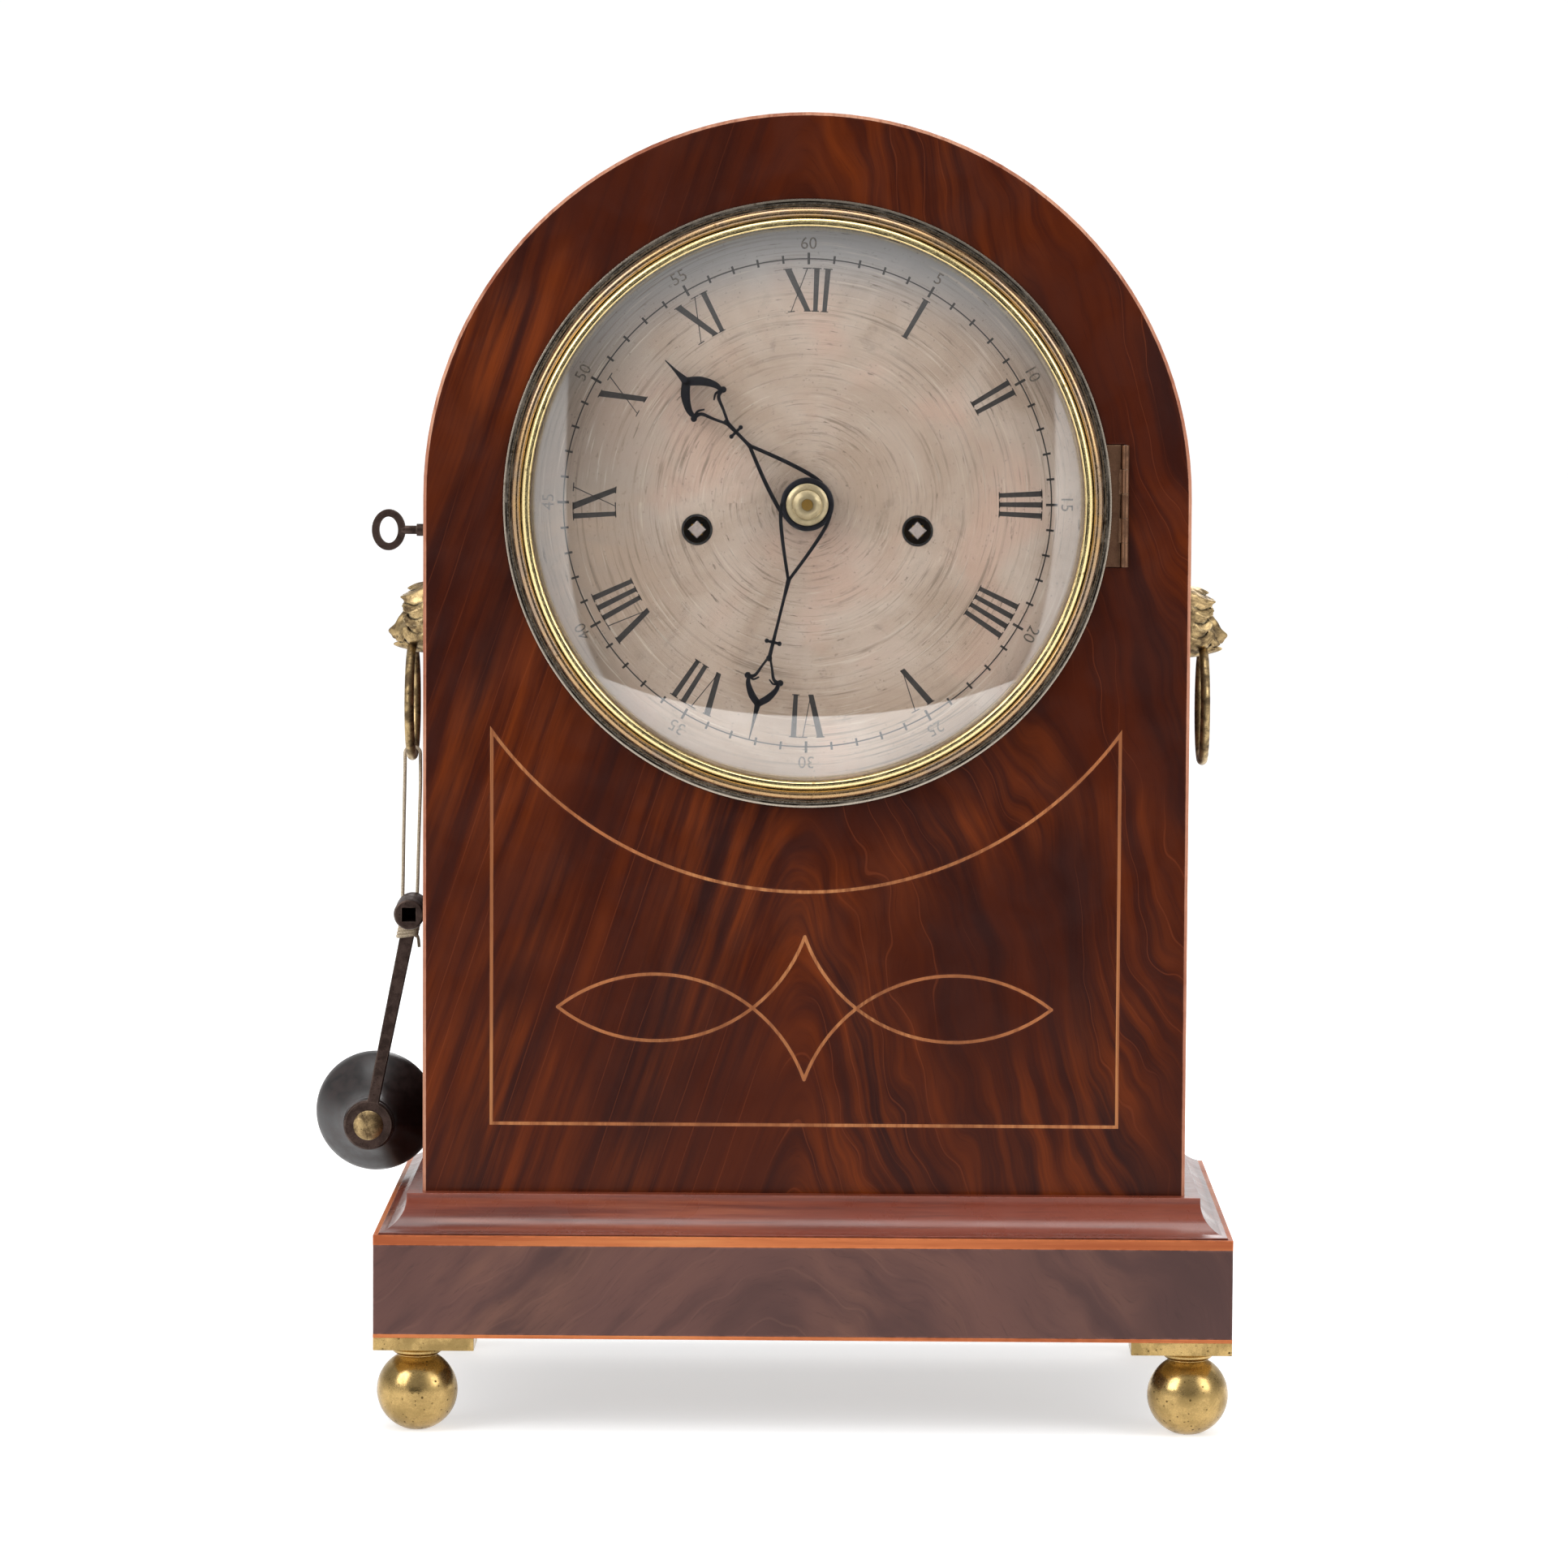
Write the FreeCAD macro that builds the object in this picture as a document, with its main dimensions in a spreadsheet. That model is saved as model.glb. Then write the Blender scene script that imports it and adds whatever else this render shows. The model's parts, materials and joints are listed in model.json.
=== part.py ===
"""Arch-topped mahogany bracket clock on brass ball feet, in millimetres.

+Z is up, the clock faces -Y, and the origin is on the floor under the middle of the plinth.
Every driving size is a cell of the spreadsheet, and each sub-part is bound to those cells.
"""
import FreeCAD, Part
import math
import os
import Sketcher

Vector = FreeCAD.Vector
doc = FreeCAD.newDocument("BracketClock")

# ---------------------------------------------------------------- driving sizes
SIZES = [
    # feet and plinth
    ("ball_diameter", 26.6), ("ball_flat", 0.5), ("ball_neck_radius", 7.2),
    ("ball_neck_height", 1.8), ("foot_inset", 13.7),
    ("foot_plate_size", 33.0), ("foot_plate_thickness", 4.2), ("foot_plate_cove", 13.0),
    ("plinth_width", 281.0), ("plinth_depth", 185.0), ("plinth_height", 33.8),
    ("plinth_wall", 20.0), ("base_board_thickness", 12.0),
    ("plinth_string_height", 3.2), ("plinth_string_depth", 1.5), ("plinth_line", 1.2),
    # case
    ("case_width", 250.4), ("case_overhang_front", 15.5), ("case_back_inset", 3.0),
    ("case_wall", 9.0), ("front_board_thickness", 12.0), ("arch_spring_height", 240.9),
    ("arris_string", 1.0),
    ("moulding_height", 12.5), ("moulding_foot", 13.6), ("moulding_ledge", 5.0),
    ("moulding_fillet", 1.5), ("moulding_toe", 0.6), ("moulding_cove_radius", 10.6),
    # stringing let into the front
    ("inlay_width", 1.06), ("inlay_depth", 0.8), ("inlay_half_width", 102.7),
    ("inlay_bottom", 35.1), ("inlay_arc_radius", 127.0), ("motif_height", 73.7),
    ("motif_arc_radius", 52.0), ("motif_arc_offset", 49.0), ("motif_arc_drop", 41.0),
    # dial and bezel
    ("dial_drop", 1.9), ("dial_radius", 90.8), ("dial_thickness", 1.5),
    ("dial_set_back", 6.0), ("dial_clearance", 0.4), ("winding_hole_radius", 5.1),
    ("winding_offset", 36.0), ("winding_drop", 8.7),
    ("bezel_flange_radius", 99.3), ("bezel_flange_thickness", 1.2),
    ("bezel_body_radius", 96.2), ("bezel_body_depth", 5.2),
    ("bezel_outer_roll", 1.35), ("bezel_inner_roll", 1.15), ("bezel_inner_step", 1.5),
    ("bezel_inner_radius", 90.2), ("bezel_gap", 0.3),
    ("glass_rebate", 1.5), ("glass_rebate_depth", 3.6), ("glass_fit", 0.1),
    ("glass_thickness", 1.6), ("glass_rise", 8.6),
    ("bezel_hinge_height", 39.7), ("bezel_hinge_reach", 4.1), ("bezel_barrel_radius", 1.25),
    ("bezel_barrel_gap", 0.1), ("hinge_leaf_thickness", 1.0), ("hinge_pin_radius", 0.6),
    ("hinge_pin_fit", 0.05), ("hinge_knuckle_gap", 0.1), ("hinge_leaf_depth", 9.0),
    ("hinge_leaf_lap", 7.0), ("leaf_recess_fit", 0.3),
    # side lock, its key and the bezel's catch
    ("lock_drop", 10.0), ("lock_back", 20.0), ("key_shank_radius", 1.4), ("key_fit", 0.15),
    ("key_reach", 18.1), ("key_bow_width", 11.0), ("key_bow_height", 13.5),
    ("key_bow_wire", 2.4), ("key_bit_length", 3.4), ("escutcheon_radius", 3.4),
    ("escutcheon_thickness", 0.8), ("lock_depth", 9.0), ("lock_height", 22.0),
    ("lock_width", 19.0), ("lock_wall", 1.4), ("lock_bolt_thickness", 2.0),
    ("lock_bolt_width", 4.0), ("lock_bolt_height", 9.0), ("lock_arm", 3.0),
    ("lock_throw", 5.0), ("catch_thickness", 2.0), ("catch_height", 18.0),
    ("catch_hook", 2.0), ("catch_inset", 1.7), ("catch_slot_fit", 2.1),
    # side masks and ring handles
    ("mask_height", 196.6), ("mask_radius", 12.2), ("mask_reach", 18.6),
    ("mask_base_thickness", 2.5), ("ring_radius", 18.8), ("ring_wire", 1.7),
    ("ring_stand_off", 8.8), ("ring_pivot_drop", 9.5), ("ring_eye_fit", 0.65),
    ("ring_eye_wall", 2.0), ("ring_eye_half_length", 4.5),
    # winding crank hung on the left ring
    ("crank_reach", 75.8), ("crank_lean", 15.0), ("crank_hang", 52.4),
    ("crank_pipe_radius", 5.5), ("crank_pipe_length", 22.0), ("crank_square", 4.8),
    ("crank_arm_width", 4.8), ("crank_arm_thickness", 3.6), ("crank_boss_radius", 8.5),
    ("crank_pin_radius", 2.6), ("crank_rivet_radius", 5.0), ("crank_rivet_height", 1.6),
    ("crank_pin_fit", 0.08), ("knob_radius", 20.8), ("knob_length", 42.0),
    ("knob_neck_radius", 9.0), ("knob_rim_round", 4.4), ("knob_gap", 0.3),
    ("twine_radius", 0.6),
    # back door
    ("door_thickness", 10.0), ("door_gap", 0.6), ("door_rail", 24.0),
    ("door_bottom_rail", 34.0), ("door_glass_thickness", 2.0),
    ("door_rebate", 5.0), ("door_barrel_radius", 1.2), ("door_hinge_height", 34.0),
    ("door_hinge_inset", 26.0), ("turn_catch_length", 22.0), ("turn_catch_width", 6.0),
    ("turn_catch_thickness", 1.4), ("turn_catch_gap", 0.2),
    # seat board and movement frame
    ("seat_board_thickness", 12.0), ("seat_board_back", 22.0), ("seat_fit", 0.2),
    ("seat_rail_width", 18.0), ("seat_rail_height", 15.0),
    ("frame_width", 144.0), ("frame_above", 72.0), ("frame_below", 80.0),
    ("frame_thickness", 3.0), ("frame_gap", 59.0), ("dial_to_frame", 19.5),
    ("pillar_radius", 4.0), ("pillar_inset", 7.0), ("dial_foot_radius", 2.5),
    ("dial_foot_across", 58.0), ("dial_foot_up", 50.0),
    ("pivot_radius", 1.2), ("arbor_radius", 1.8), ("pivot_fit", 0.1), ("end_shake", 0.3),
    ("tooth_clearance", 0.2), ("wheel_thickness", 1.8),
    ("great_wheel_radius", 34.0), ("centre_wheel_radius", 25.0), ("third_wheel_radius", 21.2),
    ("escape_wheel_radius", 14.0), ("pin_wheel_radius", 17.0), ("pinion_radius", 2.8),
    ("fusee_large_radius", 17.0), ("fusee_small_radius", 9.0), ("fusee_length", 32.0),
    ("barrel_radius", 20.0), ("barrel_length", 34.0), ("barrel_offset", 8.0),
    ("barrel_drop", 44.0), ("winding_square", 3.5),
    ("third_across", 11.9), ("third_up", 24.6), ("escape_up", 44.7), ("pallet_up", 64.5),
    ("motion_wheel_radius", 12.2), ("hour_wheel_radius", 20.3), ("hour_pipe_radius", 3.4),
    ("minute_pipe_radius", 2.2), ("pipe_fit", 0.15), ("motion_gap", 3.4),
    ("great_wheel_at", 48.0), ("strike_wheel_at", 41.5), ("centre_wheel_at", 5.0),
    ("third_wheel_at", 21.0), ("escape_wheel_at", 54.0), ("pin_wheel_at", 27.5),
    ("pin_wheel_across", 10.0), ("striking_pin_radius", 0.7), ("pallet_clearance", 1.0),
    ("seated_fit", 0.03),
    # pendulum, bell and hammer
    ("pendulum_length", 200.0), ("pendulum_rod_radius", 1.5), ("pendulum_back", 20.0),
    ("bob_radius", 19.0), ("bob_thickness", 9.0), ("cock_thickness", 3.0),
    ("crutch_length", 60.0), ("crutch_fit", 0.5), ("bell_radius", 32.0), ("bell_height", 26.0),
    ("bell_wall", 2.2), ("bell_up", 81.0), ("bell_forward", 28.0), ("hammer_across", 52.0),
    ("hammer_up", 62.0), ("hammer_gap", 1.0),
    # hands
    ("hour_hand_length", 65.8), ("minute_hand_length", 79.0), ("hand_thickness", 1.2),
    ("hand_boss_radius", 8.2), ("hand_rim", 2.0), ("hand_stroke", 1.3),
    ("hour_hand_stand", 4.0), ("hand_spacing", 2.2), ("collet_radius", 6.9),
    ("collet_height", 2.4), ("collet_post", 12.0),
    ("hour_hand_angle", 315.0), ("hour_hand_meet", 26.0), ("hour_hand_cross", 33.0),
    ("hour_hand_split", 37.4), ("hour_hand_knob_at", 45.9), ("hour_hand_knob_out", 6.6),
    ("hour_hand_heart", 55.8),
    ("minute_hand_angle", 193.6), ("minute_hand_meet", 24.7), ("minute_hand_cross", 46.2),
    ("minute_hand_split", 51.6), ("minute_hand_knob_at", 58.8), ("minute_hand_knob_out", 5.2),
    ("minute_hand_heart", 66.7),
]

sheet = doc.addObject("Spreadsheet::Sheet", "Sizes")
for row, (alias, number) in enumerate(SIZES, start=1):
    sheet.set("A%d" % row, alias.replace("_", " "))
    sheet.set("B%d" % row, str(number))
    sheet.setAlias("B%d" % row, alias)
doc.recompute()


class Size:
    """A length from the sheet: its value now, and the expression that gives it."""

    def __init__(self, value, text):
        self.value = float(value)
        self.text = text

    def __add__(self, other):
        other = as_size(other)
        return Size(self.value + other.value, "(%s + %s)" % (self.text, other.text))

    def __sub__(self, other):
        other = as_size(other)
        return Size(self.value - other.value, "(%s - %s)" % (self.text, other.text))

    def __mul__(self, other):
        other = as_size(other)
        return Size(self.value * other.value, "(%s * %s)" % (self.text, other.text))

    def __truediv__(self, other):
        other = as_size(other)
        return Size(self.value / other.value, "(%s / %s)" % (self.text, other.text))

    def __neg__(self):
        return Size(-self.value, "(0 - %s)" % self.text)

    __radd__ = __add__
    __rmul__ = __mul__

    def __rsub__(self, other):
        return as_size(other) - self

    def __float__(self):
        return self.value


def as_size(number):
    """A plain number as a Size, so that both can be mixed in one sum."""
    if isinstance(number, Size):
        return number
    return Size(number, "(%r)" % float(number) if number < 0 else "%r" % float(number))


def root(size):
    """The square root of a Size."""
    return Size(math.sqrt(size.value), "sqrt(%s)" % size.text)


class Sheet:
    """The cells by name, as Sizes."""


S = Sheet()
for alias, number in SIZES:
    setattr(S, alias, Size(number, "Sizes." + alias))

# ---------------------------------------------------------------- places worked out from them
floor_to_plate = S.ball_diameter - S.ball_flat + S.ball_neck_height
plinth_bottom = floor_to_plate + S.foot_plate_thickness
plinth_top = plinth_bottom + S.plinth_height
plinth_half_width = S.plinth_width / 2
plinth_half_depth = S.plinth_depth / 2
case_half = S.case_width / 2
case_front_y = S.case_overhang_front - plinth_half_depth
case_back_y = plinth_half_depth - S.case_back_inset
board_back_y = case_front_y + S.front_board_thickness
case_mid_y = (case_front_y + case_back_y) / 2
spring_z = plinth_top + S.arch_spring_height
dial_z = spring_z - S.dial_drop
case_inner = case_half - S.case_wall
dial_face_y = case_front_y + S.dial_set_back
dial_back_y = dial_face_y + S.dial_thickness
opening_radius = S.dial_radius + S.dial_clearance
bezel_back_y = case_front_y - S.bezel_gap
bezel_axis_x = S.bezel_flange_radius + S.bezel_hinge_reach
bezel_axis_y = case_front_y - S.bezel_barrel_radius - S.bezel_barrel_gap
frame_front_y = dial_back_y + S.dial_to_frame
frame_inner_y = frame_front_y + S.frame_thickness
frame_rear_y = frame_inner_y + S.frame_gap
frame_back_y = frame_rear_y + S.frame_thickness
seat_top_z = dial_z - S.frame_below
lock_z = dial_z - S.lock_drop
key_y = case_front_y + S.lock_back
bolt_front_y = board_back_y + S.lock_wall + S.end_shake
hook_back_y = bolt_front_y + S.lock_arm + S.catch_hook / 2
arm_low = lock_z - S.catch_hook - S.lock_arm
catch_low = arm_low + S.lock_arm + S.catch_hook / 2
door_front_y = case_back_y - S.door_thickness
moulding_top = plinth_top + S.moulding_height
catch_outer_x = S.bezel_body_radius - S.catch_inset + S.catch_thickness / 2

sub_parts = []


# ---------------------------------------------------------------- ways of making a sub-part
def bind(item, name, size):
    """Ties one property to the sheet."""
    item.setExpression(name, as_size(size).text)


def place(item, x=0, y=0, z=0, turn=None):
    """Ties an object's place to the sheet; turn is a fixed FreeCAD.Rotation."""
    rotation = turn or FreeCAD.Rotation()
    spot = Vector(float(as_size(x)), float(as_size(y)), float(as_size(z)))
    item.Placement = FreeCAD.Placement(spot, rotation)
    for axis, size in (("x", x), ("y", y), ("z", z)):
        bind(item, "Placement.Base." + axis, size)
    return item


ALONG = {
    "+X": FreeCAD.Rotation(Vector(0, 1, 0), 90),
    "-X": FreeCAD.Rotation(Vector(0, 1, 0), -90),
    "+Y": FreeCAD.Rotation(Vector(1, 0, 0), -90),
    "-Y": FreeCAD.Rotation(Vector(1, 0, 0), 90),
    "+Z": FreeCAD.Rotation(),
    "-Z": FreeCAD.Rotation(Vector(1, 0, 0), 180),
}


def keep(item, label):
    """Names a sub-part; its label names its file."""
    item.Label = label
    sub_parts.append(item)
    return item


def block(name, x0, x1, y0, y1, z0, z1):
    """A box between two corners."""
    item = doc.addObject("Part::Box", name)
    bind(item, "Length", as_size(x1) - x0)
    bind(item, "Width", as_size(y1) - y0)
    bind(item, "Height", as_size(z1) - z0)
    return place(item, x0, y0, z0)


def rod(name, radius, length, x, y, z, along="+Z"):
    """A cylinder from a point along an axis."""
    item = doc.addObject("Part::Cylinder", name)
    bind(item, "Radius", radius)
    bind(item, "Height", length)
    return place(item, x, y, z, ALONG[along])


def cut(name, base, *tools):
    """base with every tool taken away."""
    for number, tool in enumerate(tools, start=1):
        item = doc.addObject("Part::Cut", "%s_cut%d" % (name, number))
        item.Base = base
        item.Tool = tool
        base = item
    return base


def fuse(name, *items):
    """Several shapes that touch, as one solid."""
    item = doc.addObject("Part::MultiFuse", name)
    item.Shapes = list(items)
    item.Refine = True
    return item


def common(name, one, other):
    """What two shapes share."""
    item = doc.addObject("Part::Common", name)
    item.Base = one
    item.Tool = other
    return item


def group(name, *items):
    """Separate like solids that share one node."""
    item = doc.addObject("Part::Compound", name)
    item.Links = list(items)
    return item


def mirrored(name, source, normal):
    """The source's mirror image across a plane through the origin."""
    item = doc.addObject("Part::Mirroring", name)
    item.Source = source
    item.Base = Vector(0, 0, 0)
    item.Normal = Vector(*normal)
    return item


def origin_plane(body, role):
    """One of a body's own origin planes."""
    return [part for part in body.Origin.OriginFeatures if part.Role == role][0]


def draw(sketch, points, arcs):
    """A closed outline; arcs maps an edge's number to (radius, side), side +1 bulging right."""
    count = len(points)
    flat = [Vector(float(as_size(a)), float(as_size(b)), 0) for a, b in points]
    first = sketch.GeometryCount
    starts = []
    for number in range(count):
        start, end = flat[number], flat[(number + 1) % count]
        if number in arcs:
            radius, side = arcs[number]
            middle = arc_middle(start, end, float(as_size(radius)), side)
            edge = sketch.addGeometry(Part.Arc(start, middle, end))
            centre = sketch.Geometry[edge].Center
            cross = (start - centre).cross(middle - centre).z
            starts.append((edge, 1, 2) if cross > 0 else (edge, 2, 1))
        else:
            edge = sketch.addGeometry(Part.LineSegment(start, end))
            starts.append((edge, 1, 2))
    for number in range(count):
        edge, _, end = starts[number]
        following, start, _ = starts[(number + 1) % count]
        sketch.addConstraint(Sketcher.Constraint("Coincident", edge, end, following, start))
    for number, (across, up) in enumerate(points):
        edge, start, _ = starts[number]
        for kind, size in (("DistanceX", across), ("DistanceY", up)):
            size = as_size(size)
            rule = Sketcher.Constraint(kind, -1, 1, edge, start, size.value)
            spot = sketch.addConstraint(rule)
            sketch.setExpression("Constraints[%d]" % spot, size.text)
    for number in arcs:
        radius = as_size(arcs[number][0])
        rule = Sketcher.Constraint("Radius", first + number, radius.value)
        spot = sketch.addConstraint(rule)
        sketch.setExpression("Constraints[%d]" % spot, radius.text)


def arc_middle(start, end, radius, side):
    """The middle of the short arc from start to end, bulging right of the way along it."""
    chord = end - start
    half = chord.Length / 2
    rise = radius - math.sqrt(max(radius * radius - half * half, 0))
    right = Vector(chord.y, -chord.x, 0)
    right.normalize()
    return start + chord * 0.5 + right * (rise * side)


def sketch_on(body, role, points, arcs=None):
    """A closed sketch on one of the body's origin planes."""
    sketch = body.newObject("Sketcher::SketchObject", body.Name + "_sketch")
    sketch.AttachmentSupport = (origin_plane(body, role), [""])
    sketch.MapMode = "FlatFace"
    draw(sketch, points, arcs or {})
    return sketch


def padded(name, role, points, length, arcs=None):
    """A body with one outline padded to a length."""
    body = doc.addObject("PartDesign::Body", name)
    sketch = sketch_on(body, role, points, arcs)
    pad = body.newObject("PartDesign::Pad", name + "_pad")
    pad.Profile = sketch
    bind(pad, "Length", length)
    return body


def turned(name, points, arcs=None):
    """A body turned about its own Z axis, from an outline of radii and heights."""
    body = doc.addObject("PartDesign::Body", name)
    sketch = sketch_on(body, "XZ_Plane", points, arcs)
    turning = body.newObject("PartDesign::Revolution", name + "_turning")
    turning.Profile = sketch
    turning.ReferenceAxis = (sketch, ["V_Axis"])
    turning.Angle = 360
    return body


def shaped(name, shape):
    """A sub-part whose shape is worked out below with Part's own functions."""
    item = doc.addObject("Part::Feature", name)
    item.Shape = shape
    return item


# ---------------------------------------------------------------- feet and plinth
def make_feet():
    """Four turned brass balls, each on a neck under its shaped corner plate."""
    radius = S.ball_diameter / 2
    flat_radius = root(radius * radius - (radius - S.ball_flat) * (radius - S.ball_flat))
    neck_rise = root(radius * radius - S.ball_neck_radius * S.ball_neck_radius)
    neck_foot = radius - S.ball_flat + neck_rise
    belly = [(0, 0), (flat_radius, 0), (radius, radius - S.ball_flat),
             (S.ball_neck_radius, neck_foot), (S.ball_neck_radius, floor_to_plate),
             (0, floor_to_plate)]
    foot = turned("foot", belly, {1: (radius, 1), 2: (radius, 1)})
    inset_x = plinth_half_width - S.foot_inset
    inset_y = plinth_half_depth - S.foot_inset
    place(foot, inset_x, -inset_y, 0)
    pair = group("foot_pair", foot, mirrored("foot_left", foot, (1, 0, 0)))
    keep(group("ball_feet", pair, mirrored("feet_rear", pair, (0, 1, 0))), "ball_feet")

    outer_x, outer_y, size = plinth_half_width, -plinth_half_depth, S.foot_plate_size
    arm = size - S.foot_plate_cove
    outline = [(outer_x, outer_y), (outer_x, outer_y + size), (outer_x - arm, outer_y + size),
               (outer_x - size, outer_y + arm), (outer_x - size, outer_y)]
    plate = padded("plate", "XY_Plane", outline, S.foot_plate_thickness,
                   {2: (S.foot_plate_cove, -1)})
    place(plate, 0, 0, floor_to_plate)
    plates = group("plate_pair", plate, mirrored("plate_left", plate, (1, 0, 0)))
    keep(group("foot_plates", plates, mirrored("plates_rear", plates, (0, 1, 0))),
         "foot_plates")


def three_sided(name, depth, low, high):
    """A strip round the plinth's front and sides, let in by its depth."""
    outer = block(name + "_outer", -plinth_half_width, plinth_half_width,
                  -plinth_half_depth, plinth_half_depth, low, high)
    inner = block(name + "_inner", depth - plinth_half_width, plinth_half_width - depth,
                  depth - plinth_half_depth, plinth_half_depth + depth, low - 1, high + 1)
    return cut(name, outer, inner)


def make_plinth():
    """A deep frame of four rails, its boxwood strings, and the board let into its top."""
    low, high = plinth_bottom, plinth_top
    inner_x = plinth_half_width - S.plinth_wall
    inner_y = plinth_half_depth - S.plinth_wall
    outside = block("plinth_outside", -plinth_half_width, plinth_half_width,
                    -plinth_half_depth, plinth_half_depth, low, high)
    inside = block("plinth_inside", -inner_x, inner_x, -inner_y, inner_y, low - 1, high + 1)
    top_string = three_sided("top_string", S.plinth_string_depth,
                             high - S.plinth_string_height, high)
    bottom_line = three_sided("bottom_line", S.plinth_line, low, low + S.plinth_line)
    keep(cut("plinth_rails", outside, inside, top_string, bottom_line), "plinth")
    keep(group("plinth_strings", top_string, bottom_line), "plinth_stringing")
    keep(block("base_board_block", -inner_x, inner_x, -inner_y, inner_y,
               high - S.base_board_thickness, high), "base_board")


# ---------------------------------------------------------------- case
def arch_outline(half, low):
    """An arch-topped outline: straight sides to the springing and a half circle above."""
    points = [(-half, low), (half, low), (half, spring_z), (0, spring_z + half),
              (-half, spring_z)]
    return points, {2: (half, 1), 3: (half, 1)}


def arch_strip(name, outer, width, low, length):
    """The strip just inside an arch-topped outline, open at the bottom."""
    inner = outer - width
    points = [(-outer, low), (-inner, low), (-inner, spring_z), (0, spring_z + inner),
              (inner, spring_z), (inner, low), (outer, low), (outer, spring_z),
              (0, spring_z + outer), (-outer, spring_z)]
    arcs = {2: (inner, -1), 3: (inner, -1), 7: (outer, 1), 8: (outer, 1)}
    return padded(name, "XZ_Plane", points, length, arcs)


def ribbon(path, width, depth):
    """A flat strip of a width along a wire in the front's plane, as deep as its groove."""
    outline = path.makeOffset2D(float(width) / 2, join=0, fill=False, openResult=False)
    return Part.Face(outline).extrude(Vector(0, float(depth), 0))


def front_point(x, z):
    """A point of the case's front face."""
    return Vector(float(x), float(case_front_y), float(z))


def inlay_solids():
    """The panel line with its hollowed top, and the four crossing arcs inside it."""
    half, width = float(S.inlay_half_width), float(S.inlay_width)
    low = float(plinth_top + S.inlay_bottom)
    centre_z = float(dial_z)
    radius = float(S.inlay_arc_radius)
    shapes = []

    def panel(inset):
        """The panel's outline, drawn in by an inset."""
        reach, top_radius = half - inset, radius + inset
        side_z = centre_z - math.sqrt(top_radius ** 2 - reach ** 2)
        corners = [front_point(-reach, side_z), front_point(-reach, low + inset),
                   front_point(reach, low + inset), front_point(reach, side_z)]
        edges = [Part.LineSegment(corners[i], corners[i + 1]).toShape() for i in range(3)]
        crown = front_point(0, centre_z - top_radius)
        edges.append(Part.Arc(corners[3], crown, corners[0]).toShape())
        return Part.Face(Part.Wire(Part.__sortEdges__(edges)))

    border = panel(-width / 2).cut(panel(width / 2))
    shapes.append(border.extrude(Vector(0, float(S.inlay_depth), 0)))

    motif_z = float(plinth_top + S.motif_height)
    arc_r, offset, drop = (float(S.motif_arc_radius), float(S.motif_arc_offset),
                           float(S.motif_arc_drop))
    tip_x = offset + math.sqrt(arc_r ** 2 - drop ** 2)
    point_z = drop - math.sqrt(arc_r ** 2 - offset ** 2)
    for side in (1, -1):
        for lift in (1, -1):
            start = front_point(side * tip_x, motif_z)
            crest = front_point(side * offset, motif_z + lift * (arc_r - drop))
            end = front_point(0, motif_z - lift * point_z)
            path = Part.Wire([Part.Arc(start, crest, end).toShape()])
            shapes.append(ribbon(path, S.inlay_width, S.inlay_depth))
    motif = shapes[1].multiFuse(shapes[2:])
    return Part.makeCompound([shapes[0].removeSplitter(), motif.removeSplitter()])


def make_case():
    """The bent carcass, the front board with its stringing, and the cove moulding."""
    carcass = arch_strip("carcass", case_half, S.case_wall, plinth_top,
                         case_back_y - board_back_y)
    place(carcass, 0, case_back_y, 0)

    points, arcs = arch_outline(case_half, plinth_top)
    board = padded("front_board", "XZ_Plane", points, S.front_board_thickness, arcs)
    place(board, 0, board_back_y, 0)
    arris = arch_strip("arris", case_half, S.arris_string, plinth_top, S.arris_string)
    place(arris, 0, case_front_y + S.arris_string, 0)
    inlay = shaped("inlay", inlay_solids())
    opening = rod("dial_opening", opening_radius, S.front_board_thickness + 2,
                  0, case_front_y - 1, dial_z, "+Y")
    slot = block("catch_slot", -catch_outer_x - S.catch_slot_fit, S.catch_height - opening_radius,
                 case_front_y - 1, board_back_y + 1, catch_low - S.leaf_recess_fit,
                 catch_low + S.catch_height + S.leaf_recess_fit)
    hinge_half = S.bezel_hinge_height / 2 + S.leaf_recess_fit
    leaf_bed = block("leaf_bed", opening_radius - 5, bezel_axis_x, case_front_y - 1,
                     case_front_y + S.hinge_leaf_thickness, dial_z - hinge_half,
                     dial_z + hinge_half)
    leaf_half = S.hinge_leaf_thickness / 2
    leaf_slot = block("leaf_slot", bezel_axis_x - leaf_half, bezel_axis_x + leaf_half,
                      case_front_y - 1, case_front_y + S.hinge_leaf_depth,
                      dial_z - S.bezel_hinge_height / 2, dial_z + S.bezel_hinge_height / 2)
    keyhole = rod("case_keyhole", S.key_shank_radius + S.key_fit, S.case_wall + 2,
                  -case_half - 1, key_y, lock_z, "+X")
    keep(cut("carcass_bored", carcass, keyhole), "case_carcass")
    keep(cut("front", board, opening, slot, leaf_bed, leaf_slot, arris, inlay), "case_front")
    keep(arris, "front_arris_stringing")
    keep(inlay, "front_inlay")
    make_moulding()


def moulding_profile(face):
    """One side of the moulding: toe, cove, fillet and ledge, outside a face at face."""
    toe = face + S.moulding_foot
    ledge = face + S.moulding_ledge
    cove_top = moulding_top - S.moulding_fillet
    return [(toe, plinth_top), (toe, plinth_top + S.moulding_toe), (ledge, cove_top),
            (ledge, moulding_top)]


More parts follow.
